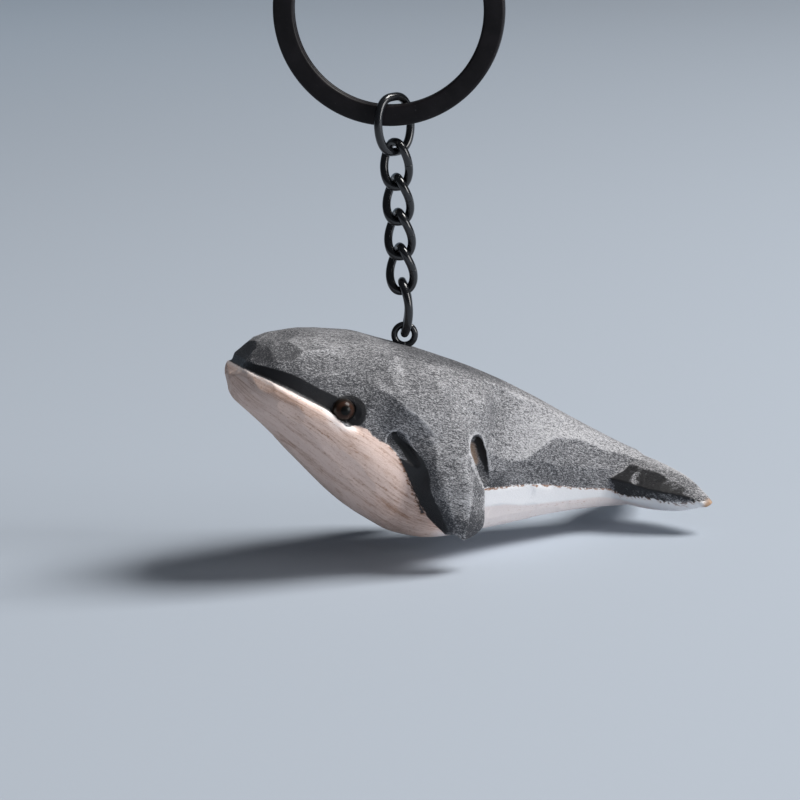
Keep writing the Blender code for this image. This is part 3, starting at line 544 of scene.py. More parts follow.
def black_coat_finish(name, colour, roughness, gloss, coat, speck):
    """Black coating on steel: slight orange peel, dust specks and rubbed patches. The gloss is the
    level of its mirror-like shine, and the speck how much its dust shows."""
    w = Wiring(name)
    place = w.place()
    peel = w.noise(place, 2.2, 3.0, 0.55)
    rubbed = w.noise(place, 0.35, 3.0, 0.6)
    dust = w.span(w.noise(place, 3.4, 2.0, 0.7), 0.70, 0.76)
    tone = w.blend(w.span(rubbed, 0.35, 0.7), colour, tuple(c * 1.9 for c in colour))
    w.set(Base_Color=w.blend(w.times(dust, speck), tone, DUST),
          Roughness=w.span(rubbed, 0.3, 0.7, roughness, roughness + 0.10), Coat_Weight=coat,
          Coat_Roughness=0.04, Specular_IOR_Level=gloss, Normal=w.bump(peel, 0.00002, 0.3))
    return w.material


def glass_eye_finish():
    """Polished bead: black pupil, brown iris with radial threads, dark rim, under a clear coat."""
    w = Wiring("brown_glass_eye")
    reach = w.noted("from_pupil")
    threads = w.noise(w.place(), 2.4, 4.0, 0.7)
    ring = w.span(w.total(reach, w.times(threads, 0.12)), 0.50, 0.92)
    iris = w.blend(ring, IRIS_DARK, IRIS_BROWN)
    iris = w.blend(w.span(reach, 1.05, 1.25), iris, IRIS_RIM)
    pupil = w.span(reach, 0.54, 0.64, 1.0, 0.0)
    w.set(Base_Color=w.blend(pupil, iris, PUPIL), Roughness=0.3, Coat_Weight=0.10,
          Coat_Roughness=0.08, Specular_IOR_Level=0.12, Normal=w.bump(threads, 0.00002, 0.15))
    return w.material


# The whale.


def round_nose(u, length):
    """From 0 at the nose's tip to 1 where its rounding ends, along a full round curve."""
    t = np.clip((u - NOSE_U) / length, 0, 1)
    return (1 - (1 - t) ** NOSE_BLUNTNESS) ** (1 / NOSE_BLUNTNESS)


def lip_amount(u):
    """1 along the mouth, fading to 0 behind the eye."""
    return 1 - ease((u - LIP_END_U) / LIP_FADE + 0.5)


def trunk_heights(u):
    """Back, mouth, widest and belly heights of the trunk at places along it."""
    mouth = along(MOUTH_LINE, u)
    back = mouth + (along(BACK_LINE, u) - mouth) * round_nose(u, BROW_ROUND)
    return back, mouth, along(WIDEST_LINE, u), along(BELLY_LINE, u)


def trunk_oval(u, w):
    """How far out a smooth side would lie: a full oval above its widest height, another below."""
    back, _, widest, belly = trunk_heights(u)
    above = np.clip((w - widest) / (back - widest), 0, 1)
    below = np.clip((widest - w) / (widest - belly), 0, 1)
    half = along(HALF_WIDTH_LINE, u) * round_nose(u, NOSE_ROUND)
    return half * ((1 - above**BACK_FULLNESS) ** (1 / BACK_FULLNESS)
                   * (1 - below**BELLY_FULLNESS) ** (1 / BELLY_FULLNESS))


def ahead_of(line, u, w):
    """Signed distance in the side view from a falling crease: positive ahead of it and below."""
    slope = (along(line, u + SLOPE_SPAN) - along(line, u - SLOPE_SPAN)) / (2 * SLOPE_SPAN)
    return (along(line, u) - w) / np.sqrt(1 + slope**2)


def shoulder_swell(u, w):
    """The shoulder stands proud behind its crease, most where the flipper grows out of it, and dies
    away up the back. Ahead of the crease the wood falls in a flat slope to a hollow cheek."""
    ahead = ahead_of(SHOULDER_CREASE, u, w)
    strength = fade(u, -8.5, 6.0) * (1 - fade(u, 5.0, 8.0))
    knob = bell(u, 4.5, 4.0) * bell(w, -9.5, 4.5)
    behind = SHOULDER_RISE * np.maximum(bell(np.minimum(ahead, 0), 0, 5.0), knob)
    slope = SHOULDER_RISE - (SHOULDER_RISE + CHEEK_HOLLOW) * np.clip(ahead / SHOULDER_SLOPE, 0, 1)
    hollow = -CHEEK_HOLLOW * (1 - fade(ahead, SHOULDER_SLOPE, 5.0))
    front = np.where(ahead > SHOULDER_SLOPE, hollow, slope)
    return strength * np.where(ahead > 0, front, behind)


def trunk_side(u, w):
    """The carved side: the oval with the shoulder on it, cut to straight chords between the creases
    that run along the tail half."""
    side = trunk_oval(u, w)
    creases = [along(line, u) for line in (BACK_CREASE, SIDE_CREASE, LOW_SIDE_CREASE, PAINT_LINE,
                                           KEEL_CREASE)]
    flat = side
    for high, low in zip(creases, creases[1:]):
        share = (high - w) / (high - low)
        chord = trunk_oval(u, high) * (1 - share) + trunk_oval(u, low) * share
        flat = np.where((share >= 0) & (share < 1), chord, flat)
    flattened = fade(u, FACETS_FROM_U, FACETS_SPREAD)
    side = side * (1 - flattened) + flat * flattened
    return np.maximum(side + shoulder_swell(u, w) * ease(side / 3.0), 0)


def trunk_shell(stations=260, rows=130):
    """The trunk as closed rings: for each u, the upper half section steps in above the mouth and
    is undercut below the lip crease, the lower one runs from the lip to the belly."""
    u = (NOSE_U + 0.02 + (STOCK_END_U - NOSE_U - 0.02) * np.linspace(0, 1, stations) ** 1.25)[:, None]
    back, mouth, _, belly = trunk_heights(u)
    turn = np.linspace(0, math.pi / 2, rows)[None, :]
    lip = lip_amount(u)
    rounding = round_nose(u, NOSE_ROUND)
    upper_w = mouth + (back - mouth) * np.cos(turn)
    crease = along(LIP_CREASE_LINE, u)
    undercut = LIP_UNDERCUT * np.clip((crease - upper_w) / (crease - mouth), 0, 1)
    upper_y = np.maximum(trunk_side(u, upper_w) - lip * (LIP_LEDGE + undercut) * rounding, 0)
    upper_u = u + lip * LIP_LEDGE * (1 - rounding) + 0 * turn
    lip_w = mouth - LIP_DROP
    lower_w = belly + (lip_w - belly) * (1 - np.sin(turn))
    bevel = LIP_BEVEL * np.clip(1 - (lip_w - lower_w) / LIP_BEVEL, 0, 1) * lip * rounding
    lower_y = np.maximum(trunk_side(u, lower_w) - bevel, 0)
    half = np.concatenate([np.stack([upper_u, upper_y, upper_w], axis=-1),
                           np.stack([u + 0 * turn, lower_y, lower_w], axis=-1)], axis=1)
    half[:, 0, 1] = half[:, -1, 1] = 0.0
    mirrored = half[:, -2:0:-1] * (1, -1, 1)
    return capped(np.concatenate([half, mirrored], axis=1))


def dense_outline(corners, per_side=10):
    """Closed outlines of straight sides with extra points along each side."""
    corners = np.asarray(corners, float)
    step = np.linspace(0, 1, per_side, endpoint=False)[:, None]
    following = np.roll(corners, -1, axis=-2)
    dense = corners[..., None, :] + (following - corners)[..., None, :] * step
    return dense.reshape(*corners.shape[:-2], -1, corners.shape[-1])


def flipper_edge(number, s):
    """One long edge of the right flipper at shares of its length: a smooth line through its points."""
    edge = np.array(FLIPPER_EDGES[number], float)
    knots = np.linspace(0, 1, len(edge))
    return np.stack([along(np.stack([knots, edge[:, axis]], axis=1), s) for axis in range(3)], axis=-1)


def flipper_place(number, w):
    """Where a long edge of the flipper lies along the body at a height."""
    return along([(-height, place) for place, _, height in FLIPPER_EDGES[number]], -w)


def flipper_shell(side, stations=90):
    """Seven flat faces between seven long edges: each face is straight across from edge to edge.
    side is 1 for the right flipper and -1 for the left."""
    s = np.linspace(0, 1, stations)
    corners = np.stack([flipper_edge(k, s) for k in range(len(FLIPPER_EDGES))], axis=1)
    return capped(dense_outline(corners) * (1, side, 1))


def fluke_shell(side, stations=60):
    """A lens-shaped section carried out from the tail's middle to the fluke's tip."""
    y = np.linspace(0, FLUKE_REACH, stations)[:, None]
    front, rear = along(FLUKE_LEADING, y), along(FLUKE_TRAILING, y)
    top, low = along(FLUKE_UPPER, y), along(FLUKE_LOWER, y)
    along_chord, up_chord = dense_outline(FLUKE_SECTION).T
    rings = np.stack([front + (rear - front) * along_chord, y + 0 * along_chord,
                      low + (top - low) * up_chord], axis=-1)
    return capped(rings * (1, side, 1))


def joined(shells):
    """Several shells' points and faces as one set."""
    starts = np.cumsum([0] + [len(points) for points, _, _ in shells])
    points = np.concatenate([shell[0] for shell in shells])
    quads = np.concatenate([shell[1] + start for shell, start in zip(shells, starts)])
    triangles = np.concatenate([shell[2] + start for shell, start in zip(shells, starts)])
    return points, quads, triangles


def finished_mesh(mesh, kind, **settings):
    """A mesh with one modifier applied."""
    piece = add_piece("blank", mesh)
    modifier = piece.modifiers.new(kind.lower(), kind)
    for name, value in settings.items():
        setattr(modifier, name, value)
    shaped = piece.evaluated_get(bpy.context.evaluated_depsgraph_get())
    result = bpy.data.meshes.new_from_object(shaped)
    bpy.data.objects.remove(piece)
    bpy.data.meshes.remove(mesh)
    return result


def read(items, field, width, kind=np.float32):
    """One field of a mesh's points or edges as an array with a row for each."""
    values = np.empty(len(items) * width, kind)
    items.foreach_get(field, values)
    return values.reshape(-1, width)


def read_points(mesh):
    """A mesh's points as an array in millimetres."""
    return read(mesh.vertices, "co", 3).astype(float) / MM


def read_normals(mesh):
    """The outward direction at each point of a mesh."""
    return read(mesh.vertex_normals, "vector", 3).astype(float)


def read_edges(mesh):
    """The two points of each edge of a mesh."""
    return read(mesh.edges, "vertices", 2, np.int32)


def write_points(mesh, points):
    """Move a mesh's points to places in millimetres."""
    mesh.vertices.foreach_set("co", (points * MM).astype(np.float32).ravel())
    mesh.update()


def neighbour_mean(values, edges):
    """At each point, the mean of the values at the points its edges lead to."""
    count = np.maximum(np.bincount(edges.ravel(), minlength=len(values)), 1)
    columns = [np.bincount(edges[:, 0], values[edges[:, 1], axis], len(values))
               + np.bincount(edges[:, 1], values[edges[:, 0], axis], len(values))
               for axis in range(values.shape[1])]
    return np.stack(columns, axis=1) / count[:, None]


def relaxed(points, edges, weight, rounds):
    """Points moved towards their neighbours' mean again and again, as far as the weight allows."""
    weight = np.broadcast_to(weight, len(points))[:, None]
    for _ in range(rounds):
        points = points + weight * (neighbour_mean(points, edges) - points)
    return points


def flat_cut(points, normals, place, facing, reach, depth):
    """A knife cut, straight across and hollow by the blade's run along the body. A plane that faces
    a given way is laid on the surface near a place, sunk by the depth where it touches, and rises
    with the square of the way along from there. What stands beyond it is pushed back onto it."""
    alike = normals @ facing > TOUCH_FACING
    near = ((points - place) ** 2).sum(axis=1) < (0.8 * reach) ** 2
    if not (near & alike).any():
        return np.zeros(len(points))
    touching = points[np.argmax(np.where(near & alike, (points - place) @ facing, -99.0))].copy()
    offset = points - touching
    far = (offset**2 * (1.0, 1.3, 1.3)).sum(axis=1) / reach**2
    sheet = -depth + 1.2 * depth * (offset[:, 0] / (0.75 * reach)) ** 2
    works = (normals @ facing > WORK_FACING) * ease(5 * (1 - far))
    over = np.maximum(offset @ facing - sheet, 0) * works
    points -= over[:, None] * facing
    return (over > 0.01).astype(float)


def hollow_cut(points, normals, place, facing, reach, depth):
    """A shallow dished cut, twice as long along the body as across, sunk by the depth at a place and
    rising to the surface at its reach. One that would bite deeper than planned isn't made."""
    offset = points - place
    near = (offset**2 * (0.25, 1.0, 1.0)).sum(axis=1) / reach**2
    hold = fade(normals @ facing, WORK_FACING, 0.3) * ease(3 * (1 - near))
    over = np.maximum(offset @ facing + depth * (1 - near), 0) * hold
    if over.max(initial=0) > 2.2 * depth + 0.05:
        return np.zeros(len(points))
    points -= over[:, None] * facing
    return (over > 0.003).astype(float)


def knife_cuts(points, normals, tone):
    """The head's flats from their own list on both sides, then many small hollow cuts, deeper on the
    head, spread over the whale. Each works on the points near it along the body."""
    order = np.argsort(points[:, 0])
    sorted_u = points[order, 0]

    def cut_at(how, place, facing, reach, depth, new_tone):
        first, last = np.searchsorted(sorted_u, (place[0] - 2 * reach, place[0] + 2 * reach))
        near = order[first:last]
        piece = points[near]
        done = how(piece, normals[near], place, facing, reach, depth)
        points[near] = piece
        tone[near] += done * (new_tone - tone[near])

    for place, facing, reach, depth, flat_tone in HEAD_FLATS:
        for side in (1, -1):
            mirror = np.array((1, side, 1))
            cut_at(flat_cut, np.array(place) * mirror, unit(np.array(facing) * mirror), reach,
                   depth, flat_tone)
    chance = np.random.default_rng(KNIFE_SEED)
    picks = chance.choice(len(points), HOLLOW_CUTS, replace=False)
    lean = chance.normal(0, HOLLOW_LEAN, (len(picks), 3))
    depths = chance.uniform(*HOLLOW_DEPTHS, len(picks))
    tones = chance.uniform(*HOLLOW_TONES, len(picks))
    for k, pick in enumerate(picks):
        facing = unit(normals[pick] + lean[k])
        depth = depths[k] * (HEAD_DEEPER if points[pick, 0] < HEAD_END_U else 1.0)
        cut_at(hollow_cut, points[pick].copy(), facing, HOLLOW_REACH, depth, tones[k])


def line_gap(points, line):
    """Distance in the side view from a chain of straight pieces, or from a single point."""
    place = points[:, [0, 2]]
    gap = np.full(len(place), 99.0)
    for start, end in zip(line, line[1:] + line[-1:]):
        run = np.array(end) - np.array(start)
        t = np.clip((place - start) @ run / max(run @ run, 1e-9), 0, 1)
        gap = np.minimum(gap, np.linalg.norm(place - start - t[:, None] * run, axis=1))
    return gap


def scoop(points, side, line, radius, floors, towards=None):
    """A ball gouge run along a line in the side view: the surface may not stand out past a trough
    whose lowest points lie at the floor, which changes evenly from the line's upper end to its lower
    one. With a direction, only the half on that side of the line's start is sunk."""
    place = points[:, [0, 2]]
    share = (line_gap(points, line) / radius) ** 2
    fall = np.clip((line[0][1] - place[:, 1]) / max(line[0][1] - line[-1][1], 0.01), 0, 1)
    floor_y = floors[0] + (floors[1] - floors[0]) * fall
    inside = (share < 1) & (points[:, 1] * side > 2)
    if towards is not None:
        inside &= (place - line[0]) @ np.array(towards) > 0
    trough = floor_y[inside] + radius * (1 - np.sqrt(1 - share[inside]))
    points[inside, 1] = side * np.minimum(points[inside, 1] * side, trough)


def eye_surface():
    """How far out the trunk's side lies at the eye."""
    return float(trunk_side(np.array(EYE_U), np.array(EYE_W)))


def smoothed_near(points, edges, middle, radii, rounds):
    """Points inside an oval region moved to their neighbours' mean, less and less to its edge."""
    share = (((points - middle) / radii) ** 2).sum(axis=1)
    inside = np.flatnonzero(share < 1)
    order = np.full(len(points), -1)
    order[inside] = np.arange(len(inside))
    local = order[edges]
    local = local[(local >= 0).all(axis=1)]
    weight = 0.6 * ease(1.6 * (1 - share[inside]))
    points[inside] = relaxed(points[inside], local, weight, rounds)


def carve(points, normals):
    """All cuts on the whale. Returns the tone that each cut leaves."""
    tone = np.zeros(len(points))
    knife_cuts(points, normals, tone)
    surface = eye_surface()
    for side in (-1, 1):
        scoop(points, side, REAR_NOTCH, REAR_NOTCH_RADIUS, REAR_NOTCH_FLOORS)
        scoop(points, side, FRONT_GOUGE, FRONT_GOUGE_RADIUS, FRONT_GOUGE_FLOORS)
        scoop(points, side, [CRESCENT_MIDDLE], CRESCENT_RADIUS, (surface - CRESCENT_DEPTH,) * 2,
              towards=CRESCENT_TOWARDS)
        scoop(points, side, [(EYE_U, EYE_W)], BEAD_RADIUS + SOCKET_GAP, (surface - SOCKET_DEPTH,) * 2)
    return tone


def line_distance(points, line):
    """Signed distance in the side view from a line of stations: positive above it."""
    height = along(line, points[:, 0])
    slope = (along(line, points[:, 0] + 0.1) - height) / 0.1
    return (points[:, 2] - height) / np.sqrt(1 + slope**2)


def flipper_patch(points):
    """Above 0 on the flipper below the body's paint line, between its front and rear edges."""
    u, y, w = points.T
    between_edges = least(u - flipper_place(0, w), flipper_place(4, w) + 0.3 - u) * 0.75
    return least(between_edges, y - 8.0, -11.0 - w)


def lip_patch(points):
    """Above 0 on the black lip: a band between its two lines as far as the eye, the crescent behind
    the eye and the upper edge of the eye's socket."""
    u, _, w = points.T
    band = least(-line_distance(points, LIP_PAINT_LINE), line_distance(points, MOUTH_LINE) + 0.1,
                 -9.3 - u)
    behind, above = u - EYE_U, w - EYE_W
    crescent = least(CRESCENT_RADIUS + 0.05 - np.hypot(u - CRESCENT_MIDDLE[0], w - CRESCENT_MIDDLE[1]),
                     CRESCENT_TOWARDS[0] * behind + CRESCENT_TOWARDS[1] * above + 0.2)
    lip = np.maximum(band, crescent)
    socket = (np.hypot(behind, above) < 1.6) & (above - 0.35 * behind > -0.4)
    return np.where(socket, np.maximum(lip, 0.5), lip)


def black_patch(points, facing):
    """Black paint and painted shade: above 0 on the flipper's front face and the gouge beside it,
    on the flukes' front facets and in the rear notch, where it faces ahead and from the light."""
    u, y, w = points.T
    front = least(u - flipper_place(0, w) + 0.2, flipper_place(1, w) + 0.15 - u) * 0.8
    gouge = np.maximum(u - along(GOUGE_PAINT_LINE, -w), -13.6 - w)
    front = least(front, -10.4 - w, y - 8.0, gouge)
    flukes = least((-0.5 - facing[:, 0]) * 1.5, u - 31, y - 2.6)
    notch = least(1.7 - line_gap(points, REAR_NOTCH), (-0.30 - facing[:, 0]) * 1.2, y - 6)
    return np.maximum(np.maximum(front, flukes), notch)


def crest_share(points, facing, edges):
    """From 0 on flat wood to 1 on a sharp crest, by how far a point stands out from its neighbours."""
    bulge = ((points - neighbour_mean(points, edges)) * facing).sum(axis=1)
    return np.clip(relaxed(bulge[:, None], edges, 0.6, 2)[:, 0] / 0.02, 0, 1)


def white_wash_and_painted_light_share(points):
    """Whiter wash in a strip under the lip and round the eye's lower half, and on the rear of the
    belly, most above the keel crease: partly thick white wash and partly painted light, where
    the ledge under the lip and the rear's side face the light."""
    u, _, w = points.T
    # painted light on the lit ledge under the lip and round the eye, with thick wash
    under_lip = bell(line_distance(points, MOUTH_LINE) + 0.1, -0.20, 0.24) * (u < -8)
    under_eye = bell(np.hypot(u - EYE_U, w - EYE_W), 2.0, 0.6) * (w < EYE_W + 0.3)
    rear = fade(u, 8, 4.0) * (0.55 + 0.40 * fade(line_distance(points, KEEL_CREASE), -0.2, 0.4))
    return np.clip(0.45 * (under_lip + under_eye) + rear, 0, 0.95)


def bare_wood_share(points):
    """1 at the very tips of the flukes, and part bare along the top of the rear notch."""
    y = points[:, 1]
    from_tip = np.linalg.norm(points - BARE_FLUKE_TIP, axis=1)
    notch = ease((0.85 - line_gap(points, NOTCH_BARE_LINE)) / 0.5) * (y > 6) * (y < 10)
    return np.clip(ease((1.3 - from_tip) / 0.8) + 0.6 * notch, 0, 1)


def painted_light_and_stain_levels(points, flipper):
    """Above 0 lighter, below 0 darker. Painted light makes the tail half's upper faces lighter.
    Heavier stain lies along the back and over the lip; painted shade darkens the shoulder's slope,
    the flipper's front and low end, and, with heavier stain, the wedge behind the rear notch."""
    u, _, w = points.T
    # painted light: the tail half's upper faces are made lighter
    painted_light_on_upper_faces = fade(u, 12, 8.0) * fade(line_distance(points, SIDE_CREASE), -0.12, 0.25)
    back = fade(line_distance(points, DARK_BACK_LINE), -0.2, 0.8) * fade(u, -6, 5)
    ahead = ahead_of(SHOULDER_CREASE, u, w)
    # painted shade down the shoulder's slope, which faces away from the light
    slope = ease(ahead / 0.35 + 0.3) * (1 - fade(ahead, 5.0, 2.0)) * fade(u, -8.6, 1.5) * (u < 7)
    over_lip = fade(line_distance(points, LIP_CREASE_LINE), -0.1, 0.3) * (u < -7)
    over_lip = over_lip * bell(w - along(LIP_CREASE_LINE, u), 0, 2.2)
    # heavier stain and painted shade on the wedge behind the rear notch
    wedge = ease((0.1 - line_distance(points, LOW_SIDE_CREASE)) / 0.2) * fade(u, 9, 0.6)
    wedge = wedge * (1 - fade(u, 15.5, 1.5))
    on_flipper = fade(flipper, -0.2, 0.4)
    front_face = ease((flipper_place(2, w) - u) / 0.35 + 0.5)
    # painted shade on the flipper's front face and low end
    flipper_painted_shade = on_flipper * (0.35 * front_face + 0.45 * ease((-17.5 - w) / 2.5))
    # heavier stain on the back and over the lip, and painted shade on the slope, wedge and flipper
    thick = 0.4 * back + 0.28 * slope * (1 - on_flipper) + 0.30 * over_lip + 0.35 * wedge
    return 0.6 * painted_light_on_upper_faces - thick - flipper_painted_shade


def paint_notes(mesh, tone):
    """Per-vertex notes for the wood's finish, worked out from where each point lies, alike on both
    sides. A patch's note is about the distance in millimetres from its edge, above 0 inside it."""
    points, edges = read_points(mesh), read_edges(mesh)
    facing = unit(relaxed(read_normals(mesh), edges, 0.7, 4))
    crest = crest_share(points, facing, edges)
    points[:, 1] = np.abs(points[:, 1])
    u, y, w = points.T
    tail = fade(u, 33.0, 2.5)
    fluke_edge = w - along(FLUKE_PAINT_LINE, y)
    edge = line_distance(points, PAINT_LINE) * (1 - tail) + fluke_edge * tail
    flipper = flipper_patch(points)
    _, mouth, _, belly = trunk_heights(u)
    below_mouth = mouth - w
    jaw_share = np.clip(below_mouth / (mouth - belly), 0, 1.2)
    notes = {"paint_edge": np.maximum(edge, flipper),
             "lip_band": lip_patch(points),
             # faces turned to the nose: end grain, and painted shade where they face from the light
             "end_grain_and_painted_shade": np.clip(-facing[:, 0], 0, 1),
             # black paint and painted shade
             "black_paint_and_painted_shade": black_patch(points, facing),
             "crest": crest,
             # thick white wash and painted light
             "white_wash_and_painted_light": white_wash_and_painted_light_share(points),
             "bare_edge": fade(u, -6, 3) * (1 - 0.6 * tail),
             "raggedness": 0.2 + 0.8 * fade(u, -9, 4),
             "jaw_depth": 7.5 * jaw_share + 0.55 * np.maximum(below_mouth, 0),
             "bare_wood": bare_wood_share(points),
             "cut_tone": tone,
             # painted light and shade, with heavier stain in places
             "painted_light_and_stain": painted_light_and_stain_levels(points, flipper)}
    for name, values in notes.items():
        note(mesh, name, values)


def to_world(points):
    """From the whale's own frame to the part's: turned by the pitch and set at the seat."""
    u, y, w = points.T
    cos, sin = math.cos(WHALE_PITCH), math.sin(WHALE_PITCH)
    return np.stack([u * cos + w * sin, y, SEAT_HEIGHT - u * sin + w * cos], axis=1)


def carved_whale(wood):
    """Trunk, flippers and flukes merged into one block, then cut with the knife."""
    shells = [trunk_shell()] + [make(side) for make in (flipper_shell, fluke_shell) for side in (-1, 1)]
    mesh = lay_mesh("rough_whale", *joined(shells))
    mesh = finished_mesh(mesh, "REMESH", mode="VOXEL", voxel_size=VOXEL_SIZE * MM)
    points, edges = read_points(mesh), read_edges(mesh)
    for side in (-1, 1):
        smoothed_near(points, edges, np.array(ROOT_MIDDLE) * (1, side, 1), ROOT_RADII, ROOT_ROUNDS)
    points = relaxed(points, edges, 0.5, 2)
    write_points(mesh, points)
    tone = carve(points, read_normals(mesh))
    write_points(mesh, points)
    note(mesh, "knife_tone", tone)
    triangles = sum(len(p.vertices) - 2 for p in mesh.polygons)
    mesh = finished_mesh(mesh, "DECIMATE", ratio=min(1.0, WHALE_TRIANGLES / triangles))
    tone = read(mesh.attributes["knife_tone"].data, "value", 1)[:, 0]
    mesh.attributes.remove(mesh.attributes["knife_tone"])
    paint_notes(mesh, tone)
    write_points(mesh, to_world(read_points(mesh)))
    mesh.shade_smooth()
    piece = add_piece("carved_whale", mesh, wood)
    stand_in(piece, "whale_body", "whale")


def bead_eye(name, side, glass):
    """A polished ball as turned rings about its own outward axis, with its distance from the pupil's
    middle noted in millimetres on the surface."""
    tilt = np.linspace(0.02, math.pi - 0.02, 48)[:, None]
    turn = np.linspace(0, 2 * math.pi, 64, endpoint=False)[None, :]
    middle = np.array([EYE_U, side * (eye_surface() + BEAD_PROUD - BEAD_RADIUS), EYE_W])
    outward = unit(np.array(BEAD_FACING) * (1, side, 1))
    sideways = unit(np.cross(outward, (0.0, 0.0, 1.0)))
    upward = np.cross(sideways, outward)
    rings = middle + BEAD_RADIUS * (np.cos(tilt)[..., None] * outward
                                    + (np.sin(tilt) * np.cos(turn))[..., None] * sideways
                                    + (np.sin(tilt) * np.sin(turn))[..., None] * upward)
    points, quads, triangles = capped(rings)
    mesh = lay_mesh(name, to_world(points), quads, triangles)
    reach = np.linalg.norm(np.cross(points - middle, outward), axis=1)
    reach = np.where((points - middle) @ outward > 0, reach, 2 * BEAD_RADIUS - reach)
    note(mesh, "from_pupil", reach)
    piece = add_piece(f"{name}_bead", mesh, glass)
    stand_in(piece, name, "whale")


# Ring, chain and screw eye.


def rounded_band_section(width, thickness, corner, per_corner=8):
    """A flat band's outline with round corners: outwards from the ring's middle, then across."""
    turn = (np.arange(4)[:, None] * math.pi / 2 + np.linspace(0, math.pi / 2, per_corner)[None, :])
    middle_x = np.array([1, -1, -1, 1])[:, None] * (width / 2 - corner)
    middle_y = np.array([1, 1, -1, -1])[:, None] * (thickness / 2 - corner)
    outline = np.stack([middle_x + corner * np.cos(turn), middle_y + corner * np.sin(turn)], axis=-1)
    return outline.reshape(-1, 2)


def split_ring(coat):
    """Two turns of flat band: it steps across to the second layer where neither end lies."""
    whole = 4 * math.pi - CROSSOVER_SPAN - BAND_END_GAP
    turn = np.linspace(0, whole, 720)
    layer = (BAND_THICKNESS + TURN_GAP) * (ease((turn - whole / 2) / CROSSOVER_SPAN + 0.5) - 0.5)
    angle = turn + CROSSOVER_AT + (CROSSOVER_SPAN + BAND_END_GAP) / 2
    section = rounded_band_section(BAND_WIDTH, BAND_THICKNESS, BAND_CORNER)
    radius = RING_OUTER_RADIUS - BAND_WIDTH / 2 + section[None, :, 0]
    across = layer[:, None] + section[None, :, 1]
    flat = radius * np.cos(angle)[:, None]
    rings = np.stack([flat * math.cos(RING_HEADING) - across * math.sin(RING_HEADING),
                      flat * math.sin(RING_HEADING) + across * math.cos(RING_HEADING),
                      radius * np.sin(angle)[:, None] + RING_MIDDLE], axis=-1)
    piece = add_piece("split_ring_band", lay_mesh("split_ring_band", *capped(rings)), coat)
    stand_in(piece, "split_ring", "ring")


def round_wire(points, radii, sides=28):
    """A round section carried along a path that runs round the origin: one axis of the section
    points away from the origin, square to the path, and the other is square to both."""
    run = unit(np.gradient(points, axis=0))
    away = unit(points - (points * run).sum(axis=1)[:, None] * run)
    across = np.cross(run, away)
    turn = np.linspace(0, 2 * math.pi, sides, endpoint=False)
    return points[:, None] + radii[:, None, None] * (np.cos(turn)[None, :, None] * away[:, None]
                                                    + np.sin(turn)[None, :, None] * across[:, None])


def end_rounding(points, radius, corner):
    """Radii that fall in a quarter round to a small flat at both ends of a wire."""
    travel = np.concatenate([[0], np.cumsum(np.linalg.norm(np.diff(points, axis=0), axis=1))])
    gap = np.minimum(travel, travel[-1] - travel)
    lost = np.clip(1 - gap / corner, 0, 1)
    return radius - corner + corner * np.sqrt(1 - lost**2)


def link_path(inner_length, inner_width, top_heading, bottom_heading, bow, steps=260):
    """The wire's middle line: a full oval whose heading turns evenly from bottom to top, with a
    slight sideways bow, and close steps near its butted ends."""
    half_length, half_width = (inner_length + CHAIN_WIRE) / 2, (inner_width + CHAIN_WIRE) / 2
    seam = WIRE_SEAM / 2 / half_length
    share = np.linspace(0, 1, steps)
    share = share - 0.9 * np.sin(2 * math.pi * share) / (2 * math.pi)
    turn = seam + (2 * math.pi - 2 * seam) * share
    side, rise = np.cos(turn), np.sin(turn)
    out = half_width * np.sign(side) * np.abs(side) ** LINK_FULLNESS
    heading = (top_heading + bottom_heading) / 2 + (top_heading - bottom_heading) / 2 * rise
    bent = bow * (1 - rise**2)
    return np.stack([out * np.cos(heading) + bent * np.sin(heading),
                     out * np.sin(heading) - bent * np.cos(heading), half_length * rise], axis=1)


def chain_link(node, coat):
    """One wire link, bent round and butted."""
    body, height, shape = LINKS[node]
    path = link_path(*shape)
    radii = end_rounding(path, CHAIN_WIRE / 2 - WIRE_WEAR, WIRE_END_CORNER)
    rings = round_wire(path, radii) + (0, 0, height)
    piece = add_piece(f"{node}_wire", lay_mesh(f"{node}_wire", *capped(rings)), coat)
    stand_in(piece, node, body)


def screw_eye(coat):
    """A wire ring on a threaded shank: the ring is one round section carried round a circle, the
    shank a profile turned about its own length."""
    radius = SCREW_EYE_INNER + SCREW_EYE_WIRE / 2
    across = END_LINK_HEADING - math.pi / 2
    seam = SCREW_EYE_SEAM_ANGLE / 2
    turn = np.linspace(seam - math.pi / 2, 1.5 * math.pi - seam, 150)
    flat = radius * np.cos(turn)
    path = np.stack([flat * math.cos(across), flat * math.sin(across), radius * np.sin(turn)], axis=1)
    radii = end_rounding(path, SCREW_EYE_WIRE / 2, SCREW_EYE_END_CORNER)
    ring = round_wire(path, radii, 24)
    drop = np.linspace(0, SHANK_LENGTH, 260)
    ridge = np.clip(np.cos(2 * math.pi * (drop - THREAD_START) / THREAD_PITCH - math.pi), 0, 1) ** 0.8
    ridge = ridge * fade(drop, THREAD_START, 0.6) * ease((SHANK_LENGTH - 1.0 - drop) / 0.8)
    width = SHANK_CORE + (THREAD_RADIUS - SHANK_CORE) * ridge
    width = width * (1 - 0.67 * ease((drop - SHANK_LENGTH + 1.2) / 1.2))
    angle = np.linspace(0, -2 * math.pi, 24, endpoint=False)[None, :]
    shank = np.stack([width[:, None] * np.cos(angle), width[:, None] * np.sin(angle),
                      (-radius - drop)[:, None] + 0 * angle], axis=-1)
    points, quads, triangles = joined([capped(ring), capped(shank)])
    mesh = lay_mesh("screw_eye_wire", points + (0, 0, SCREW_EYE_MIDDLE), quads, triangles)
    piece = add_piece("screw_eye_wire", mesh, coat)
    stand_in(piece, "screw_eye", "whale")


# Stage, camera and lamps.


